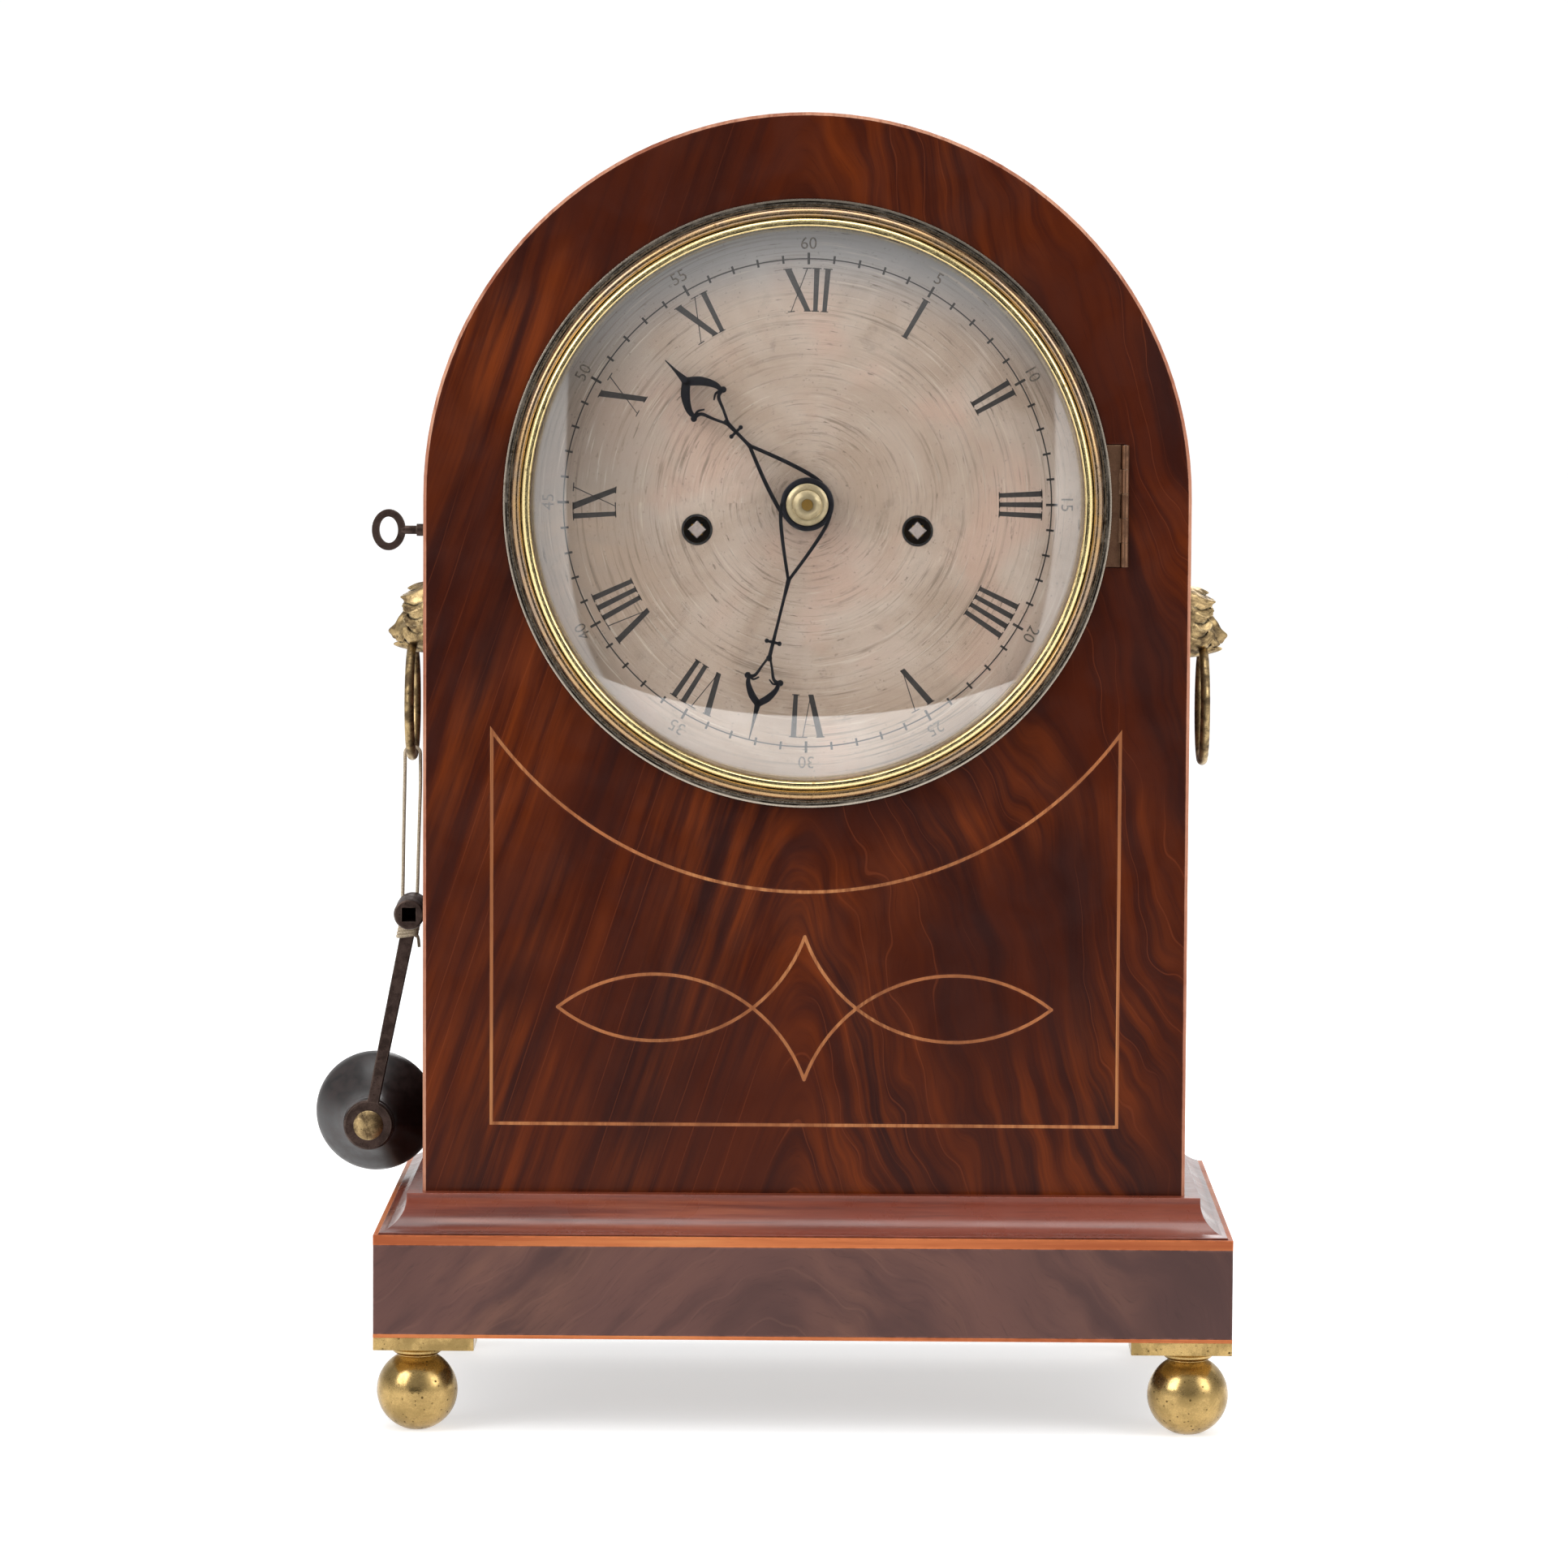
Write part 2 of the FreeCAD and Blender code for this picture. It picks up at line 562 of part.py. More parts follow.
def make_moulding():
    """The cove moulding, mitred at the front corners and square at the back."""
    right = moulding_profile(case_half)
    left = [(-across, up) for across, up in reversed(right)]
    side_on = padded("cove_across", "XZ_Plane", left + right, S.plinth_depth,
                     {1: (S.moulding_cove_radius, -1), 5: (S.moulding_cove_radius, -1)})
    place(side_on, 0, case_back_y, 0)
    front = [(-across, up) for across, up in moulding_profile(-case_front_y)]
    back = [(case_back_y, moulding_top), (case_back_y, plinth_top)]
    along = padded("cove_along", "YZ_Plane", front + back, S.plinth_width,
                   {1: (S.moulding_cove_radius, 1)})
    place(along, -plinth_half_width, 0, 0)
    whole = common("cove", side_on, along)
    core = block("cove_core", -case_half, case_half, case_front_y, case_back_y + 1,
                 plinth_top - 1, moulding_top + 1)
    keep(cut("cove_strip", whole, core), "base_moulding")


# ---------------------------------------------------------------- bezel, glass and hinge
# a roll is a little flatter than a half round, so its radius is this much over its half width
ROLL_FLATTENING = 1.05


def make_bezel():
    """The hinged brass bezel with its two rolls, convex glass and retaining ring."""
    back = as_size(0)
    body = S.bezel_body_depth
    outer_top = S.bezel_body_radius - S.bezel_outer_roll * 2
    inner_low = S.bezel_inner_radius + S.bezel_inner_roll * 2
    inner_top = body + S.bezel_inner_step
    rebate_radius = S.bezel_inner_radius + S.glass_rebate
    section = [
        (rebate_radius, back), (S.bezel_flange_radius, back),
        (S.bezel_flange_radius, S.bezel_flange_thickness),
        (S.bezel_body_radius, S.bezel_flange_thickness), (S.bezel_body_radius, body),
        (outer_top, body), (inner_low, body), (inner_low, inner_top),
        (S.bezel_inner_radius, inner_top), (S.bezel_inner_radius, S.glass_rebate_depth),
        (rebate_radius, S.glass_rebate_depth),
    ]
    rolls = {4: (S.bezel_outer_roll * ROLL_FLATTENING, 1),
             7: (S.bezel_inner_roll * ROLL_FLATTENING, 1)}
    bezel = turned("bezel_ring", section, rolls)
    keep(place(bezel, 0, bezel_back_y, dial_z, ALONG["-Y"]), "bezel")

    rim = rebate_radius - S.glass_fit
    seat = S.glass_rebate_depth
    low = seat - S.glass_thickness
    start = S.bezel_inner_radius - S.glass_fit
    inner_start = start - S.glass_thickness
    outer_sphere = (start * start + S.glass_rise * S.glass_rise) / (S.glass_rise * 2)
    inner_sphere = (inner_start * inner_start + S.glass_rise * S.glass_rise) / (S.glass_rise * 2)
    dome = [(rim, low), (rim, seat), (start, seat), (0, seat + S.glass_rise),
            (0, low + S.glass_rise), (inner_start, low)]
    glass = turned("bezel_glass_disc", dome, {2: (outer_sphere, 1), 4: (inner_sphere, -1)})
    keep(place(glass, 0, bezel_back_y, dial_z, ALONG["-Y"]), "bezel_glass")

    ring = [(S.bezel_inner_radius, 0), (rim, 0), (rim, low), (S.bezel_inner_radius, low)]
    keep(place(turned("retaining_ring", ring), 0, bezel_back_y, dial_z, ALONG["-Y"]),
         "glass_retaining_ring")


def hinge_half(name, axis_x, axis_y, low, length, count, first, radius, leaf, strap):
    """Every second knuckle of an upright hinge, strapped to its leaf and bored for the pin.

    strap holds the box, across and in depth, that joins a knuckle to the leaf.
    """
    pitch = length / count
    pieces = [leaf]
    for number in range(first, count, 2):
        foot = low + pitch * number + S.hinge_knuckle_gap / 2
        height = pitch - S.hinge_knuckle_gap
        pieces.append(rod("%s_knuckle%d" % (name, number), radius, height,
                          axis_x, axis_y, foot))
        pieces.append(block("%s_strap%d" % (name, number), *strap, foot, foot + height))
    bore = rod(name + "_bore", S.hinge_pin_radius + S.hinge_pin_fit, length + 2,
               axis_x, axis_y, low - 1)
    return cut(name, fuse(name + "_joined", *pieces), bore)


KNUCKLES = 5


def make_bezel_hinge():
    """The long hinge at three o'clock, its pin, and the catch across from it."""
    low = dial_z - S.bezel_hinge_height / 2
    high = dial_z + S.bezel_hinge_height / 2
    radius, reach = S.bezel_barrel_radius, S.hinge_knuckle_gap + S.hinge_pin_fit
    leaf_edge = bezel_axis_x - radius - reach
    leaf_back = bezel_back_y + S.hinge_leaf_thickness
    moving_leaf = block("moving_leaf", S.bezel_flange_radius - S.hinge_leaf_lap, leaf_edge,
                        bezel_back_y, leaf_back, low, high)
    strap = (leaf_edge - reach * 3, bezel_axis_x, bezel_axis_y, bezel_back_y + reach)
    keep(hinge_half("bezel_hinge_moving", bezel_axis_x, bezel_axis_y, low,
                    S.bezel_hinge_height, KNUCKLES, 1, radius, moving_leaf, strap),
         "bezel_hinge_moving_leaf")
    half = S.hinge_leaf_thickness / 2
    fixed_leaf = block("fixed_leaf", bezel_axis_x - half, bezel_axis_x + half,
                       case_front_y, case_front_y + S.hinge_leaf_depth, low, high)
    strap = (bezel_axis_x - half, bezel_axis_x + half, bezel_axis_y, case_front_y + half)
    keep(hinge_half("bezel_hinge_fixed", bezel_axis_x, bezel_axis_y, low,
                    S.bezel_hinge_height, KNUCKLES, 0, radius, fixed_leaf, strap),
         "bezel_hinge_fixed_leaf")
    pin = rod("bezel_pin", S.hinge_pin_radius, S.bezel_hinge_height,
              bezel_axis_x, bezel_axis_y, low)
    make_catch()
    return pin


def make_catch():
    """The hooked tongue on the bezel's back, which the side lock's bolt rises into."""
    inner_x, outer_x = catch_outer_x - S.catch_thickness, catch_outer_x
    tongue = block("tongue", -outer_x, -inner_x, bezel_back_y, hook_back_y + S.catch_hook,
                   catch_low, catch_low + S.catch_height)
    notch = block("notch", -outer_x - 1, 1 - inner_x, bolt_front_y - S.catch_hook / 2,
                  hook_back_y, catch_low - 1, arm_low + S.lock_arm + S.lock_throw + S.end_shake)
    keep(cut("catch", tongue, notch), "bezel_catch")


# ---------------------------------------------------------------- side lock and key


def make_lock():
    """The iron lock inside the left wall, its rising bolt, and the small key in its hole."""
    wall_x = -case_inner
    box_front, box_back = board_back_y + S.end_shake / 2, board_back_y + S.lock_width
    low, high = lock_z - S.lock_height / 2, lock_z + S.lock_height / 2
    outer = block("lock_outer", wall_x, wall_x + S.lock_depth, box_front, box_back, low, high)
    inner = block("lock_inner", wall_x + S.lock_wall, wall_x + S.lock_depth - S.lock_wall,
                  box_front + S.lock_wall, box_back - S.lock_wall,
                  low + S.lock_wall, high - S.lock_wall)
    bolt_x = wall_x + S.lock_depth - S.lock_wall - S.end_shake
    slot = block("arm_slot", bolt_x, wall_x + S.lock_depth + 1, bolt_front_y - S.key_fit,
                 bolt_front_y + S.lock_arm + S.key_fit, arm_low - S.key_fit,
                 arm_low + S.lock_arm + S.lock_throw + S.key_fit)
    hole_radius = S.key_shank_radius + S.key_fit
    keyhole = rod("lock_keyhole", hole_radius, S.lock_wall + 2, wall_x - 1, key_y, lock_z, "+X")
    keep(cut("lock", outer, inner, slot, keyhole), "lock_case")

    plate = block("bolt_plate", bolt_x - S.lock_bolt_thickness, bolt_x, bolt_front_y,
                  bolt_front_y + S.lock_bolt_width, arm_low - S.catch_hook / 2,
                  arm_low - S.catch_hook / 2 + S.lock_bolt_height)
    arm = block("bolt_arm", bolt_x - S.lock_bolt_thickness, -catch_outer_x + S.catch_thickness,
                bolt_front_y, bolt_front_y + S.lock_arm, arm_low, arm_low + S.lock_arm)
    keep(fuse("bolt", plate, arm), "lock_bolt")

    plate = rod("escutcheon_disc", S.escutcheon_radius, S.escutcheon_thickness,
                -case_half - S.escutcheon_thickness, key_y, lock_z, "+X")
    hole = rod("escutcheon_hole", hole_radius, S.escutcheon_thickness + 2,
               -case_half - S.escutcheon_thickness - 1, key_y, lock_z, "+X")
    keep(cut("escutcheon", plate, hole), "lock_escutcheon")
    make_key(wall_x, bolt_x)


def make_key(wall_x, bolt_x):
    """An oval bow on a plain shank, with its bit inside the lock."""
    bow_x = -case_half - S.key_reach + S.key_bow_width / 2
    tip_x = bolt_x - S.lock_bolt_thickness - S.end_shake
    shank_start = bow_x + S.key_bow_width / 2 - S.key_bow_wire / 2
    shank = rod("key_shank", S.key_shank_radius, tip_x - shank_start, shank_start,
                key_y, lock_z, "+X")
    shoulder = rod("key_shoulder", S.key_shank_radius + S.key_fit * 4, S.key_bow_wire,
                   -case_half - S.escutcheon_thickness - S.key_bow_wire - S.key_fit,
                   key_y, lock_z, "+X")
    bit = block("key_bit", wall_x + S.lock_wall + S.key_fit, tip_x,
                key_y - S.key_bow_wire / 4, key_y + S.key_bow_wire / 4,
                lock_z + S.key_shank_radius / 2, lock_z + S.key_shank_radius + S.key_bit_length)
    wire = float(S.key_bow_wire)
    high, wide = float(S.key_bow_height) / 2, float(S.key_bow_width) / 2
    rims = [Part.Ellipse(Vector(0, 0, 0), high - inset, wide - inset).toShape()
            for inset in (0, wire)]
    outer, hole = [Part.Face(Part.Wire([rim])) for rim in rims]
    flat = outer.cut(hole).extrude(Vector(0, 0, wire))
    ring = shaped("key_bow", flat)
    ring.Placement = FreeCAD.Placement(
        Vector(float(bow_x), float(key_y) + wire / 2, float(lock_z)),
        FreeCAD.Rotation(Vector(0, 0, 1), Vector(1, 0, 0), Vector(0, -1, 0), "ZXY"))
    keep(fuse("key_joined", ring, shank, shoulder, bit), "key")


# ---------------------------------------------------------------- masks and ring handles
mask_z = plinth_top + S.mask_height
ring_pivot_x = case_half + S.ring_stand_off
ring_pivot_z = mask_z - S.ring_pivot_drop
MANE_LOCKS = 12


def ball(name, radius, x, y, z):
    """A sphere, its poles tilted so that no seam meets a neighbour's."""
    item = doc.addObject("Part::Sphere", name)
    bind(item, "Radius", radius)
    return place(item, x, y, z, FreeCAD.Rotation(Vector(0.8, 0.5, 0.2), 17))


def make_mask():
    """A cast lion's head on a round boss: mane, ears, muzzle and the eye for the ring."""
    out, radius, reach = case_half, S.mask_radius, S.mask_reach
    muzzle = radius * 0.46
    pieces = [rod("mask_boss", radius, S.mask_base_thickness, out, case_mid_y, mask_z, "+X"),
              ball("mask_head", radius * 0.9, out + radius * 0.08, case_mid_y, mask_z),
              ball("mask_muzzle", muzzle, out + reach - muzzle, case_mid_y,
                   mask_z - radius * 0.22)]
    for side in (1, -1):
        pieces.append(ball("mask_ear%d" % (side + 1), radius * 0.25, out + reach * 0.3,
                           case_mid_y + radius * (0.66 * side), mask_z + radius * 0.66))
    for number in range(MANE_LOCKS):
        angle = 2 * math.pi * (number + 0.5) / MANE_LOCKS
        pieces.append(ball("mask_lock%d" % number, radius * 0.23, out + S.mask_base_thickness,
                           case_mid_y + radius * (0.84 * math.cos(angle)),
                           mask_z + radius * (0.84 * math.sin(angle))))
    eye_radius = S.ring_wire + S.ring_eye_fit
    pieces.append(rod("mask_eye", eye_radius + S.ring_eye_wall, S.ring_eye_half_length * 2,
                      ring_pivot_x, case_mid_y - S.ring_eye_half_length, ring_pivot_z, "+Y"))
    jaw = S.ring_eye_half_length - S.end_shake
    pieces.append(block("mask_jaw", out, ring_pivot_x, case_mid_y - jaw, case_mid_y + jaw,
                        ring_pivot_z - S.ring_eye_wall, mask_z))
    wood = block("mask_wood", out - reach, out, case_mid_y - reach, case_mid_y + reach,
                 mask_z - reach * 2, mask_z + reach * 2)
    bore = rod("mask_bore", eye_radius, reach * 2, ring_pivot_x, case_mid_y - reach,
               ring_pivot_z, "+Y")
    right = cut("mask", fuse("mask_joined", *pieces), wood, bore)
    keep(mirrored("mask_mirrored", right, (1, 0, 0)), "lion_mask_left")
    keep(right, "lion_mask_right")


def make_rings():
    """The round wire handles that hang from the masks."""
    for side, label in ((-1, "ring_handle_left"), (1, "ring_handle_right")):
        ring = doc.addObject("Part::Torus", label + "_wire")
        bind(ring, "Radius1", S.ring_radius)
        bind(ring, "Radius2", S.ring_wire)
        place(ring, ring_pivot_x * side, case_mid_y, ring_pivot_z - S.ring_radius, ALONG["+X"])
        keep(ring, label)


# ---------------------------------------------------------------- winding crank on its twine
hang_x = -ring_pivot_x
hang_z = ring_pivot_z - S.ring_radius * 2
pipe_z = hang_z - S.crank_hang
crank_drop = root(S.crank_reach * S.crank_reach - S.crank_lean * S.crank_lean)
knob_x = hang_x - S.crank_lean
knob_z = pipe_z - crank_drop
arm_y = case_mid_y - S.crank_arm_thickness / 2


def make_crank():
    """An iron arm with a square pipe at one end and a turned knob on a riveted pin."""
    back_y = arm_y + S.crank_arm_thickness
    lean = math.degrees(math.atan2(float(S.crank_lean), float(crank_drop)))
    arm = block("crank_bar", 0, S.crank_arm_width, 0, S.crank_arm_thickness, 0, S.crank_reach)
    cosine, sine = crank_drop / S.crank_reach, S.crank_lean / S.crank_reach
    half_width = S.crank_arm_width / 2
    place(arm, knob_x - half_width * cosine, arm_y, knob_z + half_width * sine,
          FreeCAD.Rotation(Vector(0, 1, 0), lean))
    pipe = rod("crank_pipe", S.crank_pipe_radius, S.crank_pipe_length, hang_x,
               back_y - S.crank_pipe_length, pipe_z, "+Y")
    half = S.crank_square / 2
    square = block("crank_hole", hang_x - half, hang_x + half, back_y - S.crank_pipe_length - 1,
                   back_y - S.crank_arm_thickness, pipe_z - half, pipe_z + half)
    boss = rod("crank_boss", S.crank_boss_radius, S.crank_arm_thickness, knob_x, arm_y,
               knob_z, "+Y")
    rivet = rod("crank_rivet", S.crank_rivet_radius, S.crank_rivet_height, knob_x,
                arm_y - S.crank_rivet_height, knob_z, "+Y")
    pin = rod("crank_pin", S.crank_pin_radius, S.crank_arm_thickness + S.knob_length * 0.8,
              knob_x, arm_y, knob_z, "+Y")
    keep(cut("crank", fuse("crank_joined", arm, pipe, boss, rivet, pin), square), "crank_arm")

    neck, widest, length = S.knob_neck_radius, S.knob_radius, S.knob_length
    bore = S.crank_pin_radius + S.crank_pin_fit
    bore_end = length * 0.8 + S.knob_gap
    rim = widest - S.knob_rim_round * 0.75
    shoulder = length * 0.84
    rim_top = shoulder + S.knob_rim_round * 0.85
    rise = length - rim_top
    dome = (rim * rim + rise * rise) / (rise * 2)
    profile = [(bore, 0), (neck * 0.92, 0), (neck, length * 0.04), (neck * 0.86, length * 0.3),
               (widest, length * 0.78), (widest, shoulder), (rim, rim_top), (0, length),
               (0, bore_end), (bore, bore_end)]
    arcs = {3: (length * 0.62, -1), 5: (S.knob_rim_round, 1), 6: (dome, 1)}
    knob = turned("crank_knob_turned", profile, arcs)
    keep(place(knob, knob_x, back_y + S.knob_gap, knob_z, ALONG["+Y"]), "crank_knob")
    make_twine(lean)


def make_twine(lean):
    """A doubled length of twine over the ring's foot, its ends tied round the arm."""
    radius, fit = float(S.twine_radius), float(S.key_fit)
    loop = float(S.ring_wire) + radius + fit
    x, y, top = float(hang_x), float(case_mid_y), float(hang_z)
    foot = float(pipe_z) - float(S.crank_pipe_radius) - radius * 3
    neck_x = x - (float(pipe_z) - foot) * math.tan(math.radians(lean))
    behind = y + float(S.crank_arm_thickness) / 2 + radius + 1.0
    low_right, low_left = Vector(neck_x + loop, behind, foot), Vector(neck_x - loop, behind, foot)
    top_right, top_left = Vector(x + loop, y, top), Vector(x - loop, y, top)
    over = Part.Arc(top_right, Vector(x, y, top + loop), top_left).toShape()
    run_right = Part.LineSegment(low_right, top_right).toShape()
    run_left = Part.LineSegment(top_left, low_left).toShape()
    solids = []
    for edge in (run_right, run_left):
        start, end = edge.Vertexes[0].Point, edge.Vertexes[1].Point
        solids.append(Part.makeCylinder(radius, (end - start).Length, start, end - start))
    arch = Part.Wire([over]).makePipeShell(
        [Part.Wire([Part.Circle(top_right, Vector(0, 0, 1), radius).toShape()])], True, False)
    solids.append(arch)
    for spot in (top_right, top_left):
        solids.append(Part.makeSphere(radius, spot))
    corner = math.hypot(float(S.crank_arm_width), float(S.crank_arm_thickness)) / 2
    solids.append(Part.makeTorus(corner + radius + fit * 2, radius, Vector(neck_x, y, foot),
                                 Vector(0, 0, 1)))
    twine = solids[0].multiFuse(solids[1:]).removeSplitter()
    keep(shaped("twine_run", twine), "twine")


# ---------------------------------------------------------------- back door
def make_back_door():
    """An arched glazed door hinged at one side of the case's back, and its turn catch."""
    half = case_inner - S.door_gap
    low = plinth_top + S.door_gap
    points, arcs = arch_outline(half, low)
    leaf = padded("door_leaf", "XZ_Plane", points, S.door_thickness, arcs)
    place(leaf, 0, case_back_y, 0)
    sight = half - S.door_rail
    points, arcs = arch_outline(sight, low + S.door_bottom_rail)
    opening = padded("door_opening", "XZ_Plane", points, S.door_thickness + 2, arcs)
    place(opening, 0, case_back_y + 1, 0)
    bed = sight + S.door_rebate
    points, arcs = arch_outline(bed, low + S.door_bottom_rail - S.door_rebate)
    rebate = padded("door_rebate_cut", "XZ_Plane", points, S.door_glass_thickness, arcs)
    place(rebate, 0, door_front_y + S.door_glass_thickness, 0)
    keep(cut("door", leaf, opening, rebate), "back_door_frame")
    pane = bed - S.glass_fit
    points, arcs = arch_outline(pane, low + S.door_bottom_rail - S.door_rebate + S.glass_fit)
    glass = padded("door_pane", "XZ_Plane", points, S.door_glass_thickness, arcs)
    keep(place(glass, 0, door_front_y + S.door_glass_thickness, 0), "back_door_glass")

    radius = S.door_barrel_radius
    axis_x = case_inner - S.door_gap / 2
    axis_y = case_back_y + radius + S.bezel_barrel_gap
    edge = radius + S.hinge_knuckle_gap + S.hinge_pin_fit
    thick = S.hinge_leaf_thickness
    fixed, moving, pins = [], [], []
    lows = (low + S.door_hinge_inset, spring_z - S.door_hinge_inset - S.door_hinge_height)
    for number, foot in enumerate(lows):
        high = foot + S.door_hinge_height
        name = "door_hinge%d" % number
        leaf = block(name + "_fixed_leaf", axis_x + edge, axis_x + S.case_wall, case_back_y,
                     case_back_y + thick, foot, high)
        strap = (axis_x, axis_x + edge * 2, case_back_y + S.bezel_barrel_gap,
                 case_back_y + thick)
        fixed.append(hinge_half(name + "_fixed", axis_x, axis_y, foot, S.door_hinge_height,
                                KNUCKLES, 0, radius, leaf, strap))
        leaf = block(name + "_moving_leaf", axis_x - S.door_rail / 2, axis_x - edge,
                     case_back_y, case_back_y + thick, foot, high)
        strap = (axis_x - edge * 2, axis_x, case_back_y + S.bezel_barrel_gap,
                 case_back_y + thick)
        moving.append(hinge_half(name + "_moving", axis_x, axis_y, foot, S.door_hinge_height,
                                 KNUCKLES, 1, radius, leaf, strap))
        pins.append(rod(name + "_pin", S.hinge_pin_radius, S.door_hinge_height,
                        axis_x, axis_y, foot))
    keep(group("door_fixed_leaves", *fixed), "back_door_fixed_leaves")
    keep(group("door_moving_leaves", *moving), "back_door_moving_leaves")

    catch_x = -case_half + S.case_wall / 2
    catch_z = dial_z
    long_half, wide_half = S.turn_catch_length / 2, S.turn_catch_width / 2
    near = case_back_y + S.turn_catch_gap
    button = block("turn_button", catch_x - wide_half, catch_x + wide_half, near,
                   near + S.turn_catch_thickness, catch_z - long_half, catch_z + long_half)
    hole = rod("turn_hole", S.pivot_radius + S.hinge_pin_fit, S.turn_catch_thickness + 2,
               catch_x, near - 1, catch_z, "+Y")
    keep(cut("turn_catch", button, hole), "back_door_turn_catch")
    pins.append(rod("turn_pin", S.pivot_radius, S.turn_catch_gap + S.turn_catch_thickness,
                    catch_x, case_back_y, catch_z, "+Y"))
    return pins


# ---------------------------------------------------------------- seat board and movement frame
fusee_arbor = S.arbor_radius + 1
winding_z = dial_z - S.winding_drop
barrel_x = S.winding_offset + S.barrel_offset
barrel_z = winding_z - S.barrel_drop
pin_across, pin_up = S.winding_offset + S.pin_wheel_across, S.winding_offset - S.winding_drop


def make_seat():
    """Two rails on the case's sides carry the board that the movement stands on."""
    low = seat_top_z - S.seat_board_thickness
    keep(block("seat_plank", S.seat_fit - case_inner, case_inner - S.seat_fit,
               frame_front_y - S.seat_fit * 10, S.seat_board_back, low, seat_top_z),
         "seat_board")
    rail_low = low - S.seat_rail_height
    right = block("seat_rail", case_inner - S.seat_rail_width, case_inner,
                  board_back_y + S.lock_width, door_front_y - S.lock_width, rail_low, low)
    keep(group("seat_rail_pair", right, mirrored("seat_rail_left", right, (1, 0, 0))),
         "seat_rails")


def frame_holes():
    """Where each arbor runs in the plates: across, height, radius in front, radius behind."""
    small = S.pivot_radius + S.pivot_fit
    large = fusee_arbor + S.pivot_fit
    centre = S.arbor_radius + S.pivot_fit
    return [
        (0, dial_z, centre, small),
        (S.winding_offset, winding_z, large, small), (-S.winding_offset, winding_z, large, small),
        (barrel_x, barrel_z, small, small), (-barrel_x, barrel_z, small, small),
        (S.third_across, dial_z + S.third_up, small, small),
        (0, dial_z + S.escape_up, small, small),
        (0, dial_z + S.pallet_up, small, centre + S.end_shake),
        (-pin_across, dial_z + pin_up, small, small),
        (-S.hammer_across, dial_z + S.hammer_up, small, small),
        (-idle_across, dial_z + idle_up, small, None),
    ]


def make_frame():
    """Front and back plates held apart by four turned pillars, and the dial's feet."""
    half = S.frame_width / 2
    high = dial_z + S.frame_above
    for label, near, column in (("front_plate", frame_front_y, 2), ("back_plate", frame_rear_y, 3)):
        plate = block(label + "_brass", -half, half, near, near + S.frame_thickness,
                      seat_top_z, high)
        holes = [rod("%s_hole%d" % (label, number), spot[column], S.frame_thickness + 2,
                     spot[0], near - 1, spot[1], "+Y")
                 for number, spot in enumerate(frame_holes()) if spot[column]]
        keep(cut(label, plate, fuse(label + "_holes", *holes)), label)

    waist, length = S.pillar_radius, S.frame_gap
    profile = [(0, 0), (waist * 1.3, 0), (waist * 1.3, length * 0.08), (waist, length * 0.12),
               (waist, length * 0.45), (waist * 1.3, length * 0.5), (waist, length * 0.55),
               (waist, length * 0.88), (waist * 1.3, length * 0.92), (waist * 1.3, length),
               (0, length)]
    pillars = []
    for number, (side, height) in enumerate(((1, seat_top_z + S.pillar_inset * 1.2),
                                             (-1, seat_top_z + S.pillar_inset * 1.2),
                                             (1, high - S.pillar_inset),
                                             (-1, high - S.pillar_inset))):
        pillar = turned("pillar%d" % number, profile)
        place(pillar, (half - S.pillar_inset) * side, frame_inner_y, height, ALONG["+Y"])
        pillars.append(pillar)
    keep(group("pillars", *pillars), "plate_pillars")

    feet = [rod("dial_foot%d" % number, S.dial_foot_radius, S.dial_to_frame,
                S.dial_foot_across * across, dial_back_y, dial_z + S.dial_foot_up * up, "+Y")
            for number, (across, up) in enumerate(((1, 1), (-1, 1), (1, -1), (-1, -1)))]
    keep(group("dial_pillars", *feet), "dial_feet")

    disc = rod("dial_disc", S.dial_radius, S.dial_thickness, 0, dial_face_y, dial_z, "+Y")
    holes = [rod("dial_hole%d" % number, radius, S.dial_thickness + 2, across,
                 dial_face_y - 1, height, "+Y")
             for number, (across, height, radius) in enumerate((
                 (0, dial_z, S.hour_pipe_radius + S.end_shake * 2),
                 (S.winding_offset, winding_z, S.winding_hole_radius),
                 (-S.winding_offset, winding_z, S.winding_hole_radius)))]
    keep(cut("dial", disc, *holes), "dial_plate")


# ---------------------------------------------------------------- wheels and arbors
def toothed_wheel(teeth, tip, thickness, start, hub=0.0, rake=0.0):
    """A toothed wheel about Z from a height, with four crossings when it has a hub."""
    module = 2 * tip / (teeth + 2)
    foot = tip - 2.1 * module
    corners = []
    for number in range(teeth):
        for share, radius in ((-0.3, foot), (-0.12 + rake, tip), (0.12 + rake, tip), (0.3, foot)):
            angle = 2 * math.pi * (number + share) / teeth
            corners.append(Vector(radius * math.cos(angle), radius * math.sin(angle), start))
    wheel = Part.Face(Part.makePolygon(corners + corners[:1])).extrude(Vector(0, 0, thickness))
    if hub:
        rim = foot - 2.5 * module
        window = Part.makeCylinder(rim, thickness, Vector(0, 0, start))
        window = window.cut(Part.makeCylinder(hub, thickness, Vector(0, 0, start)))
        arm = module * 3
        for turn in (0, 90):
            bar = Part.makeBox(2 * rim, arm, thickness, Vector(-rim, -arm / 2, start))
            bar.rotate(Vector(0, 0, 0), Vector(0, 0, 1), turn)
            window = window.cut(bar)
        wheel = wheel.cut(window)
    return wheel


def stem(radius, start, end):
    """A round length about Z between two heights."""
    return Part.makeCylinder(float(radius), float(end) - float(start), Vector(0, 0, float(start)))


def stand_on_plate(name, solids, across, height):
    """Joins solids made about Z and stands them on the front plate's inner face, along Y."""
    whole = solids[0].multiFuse(solids[1:]).removeSplitter() if len(solids) > 1 else solids[0]
    item = shaped(name + "_turned", whole)
    spot = Vector(float(across), float(frame_inner_y), float(height))
    item.Placement = FreeCAD.Placement(spot, ALONG["+Y"])
    return keep(item, name)


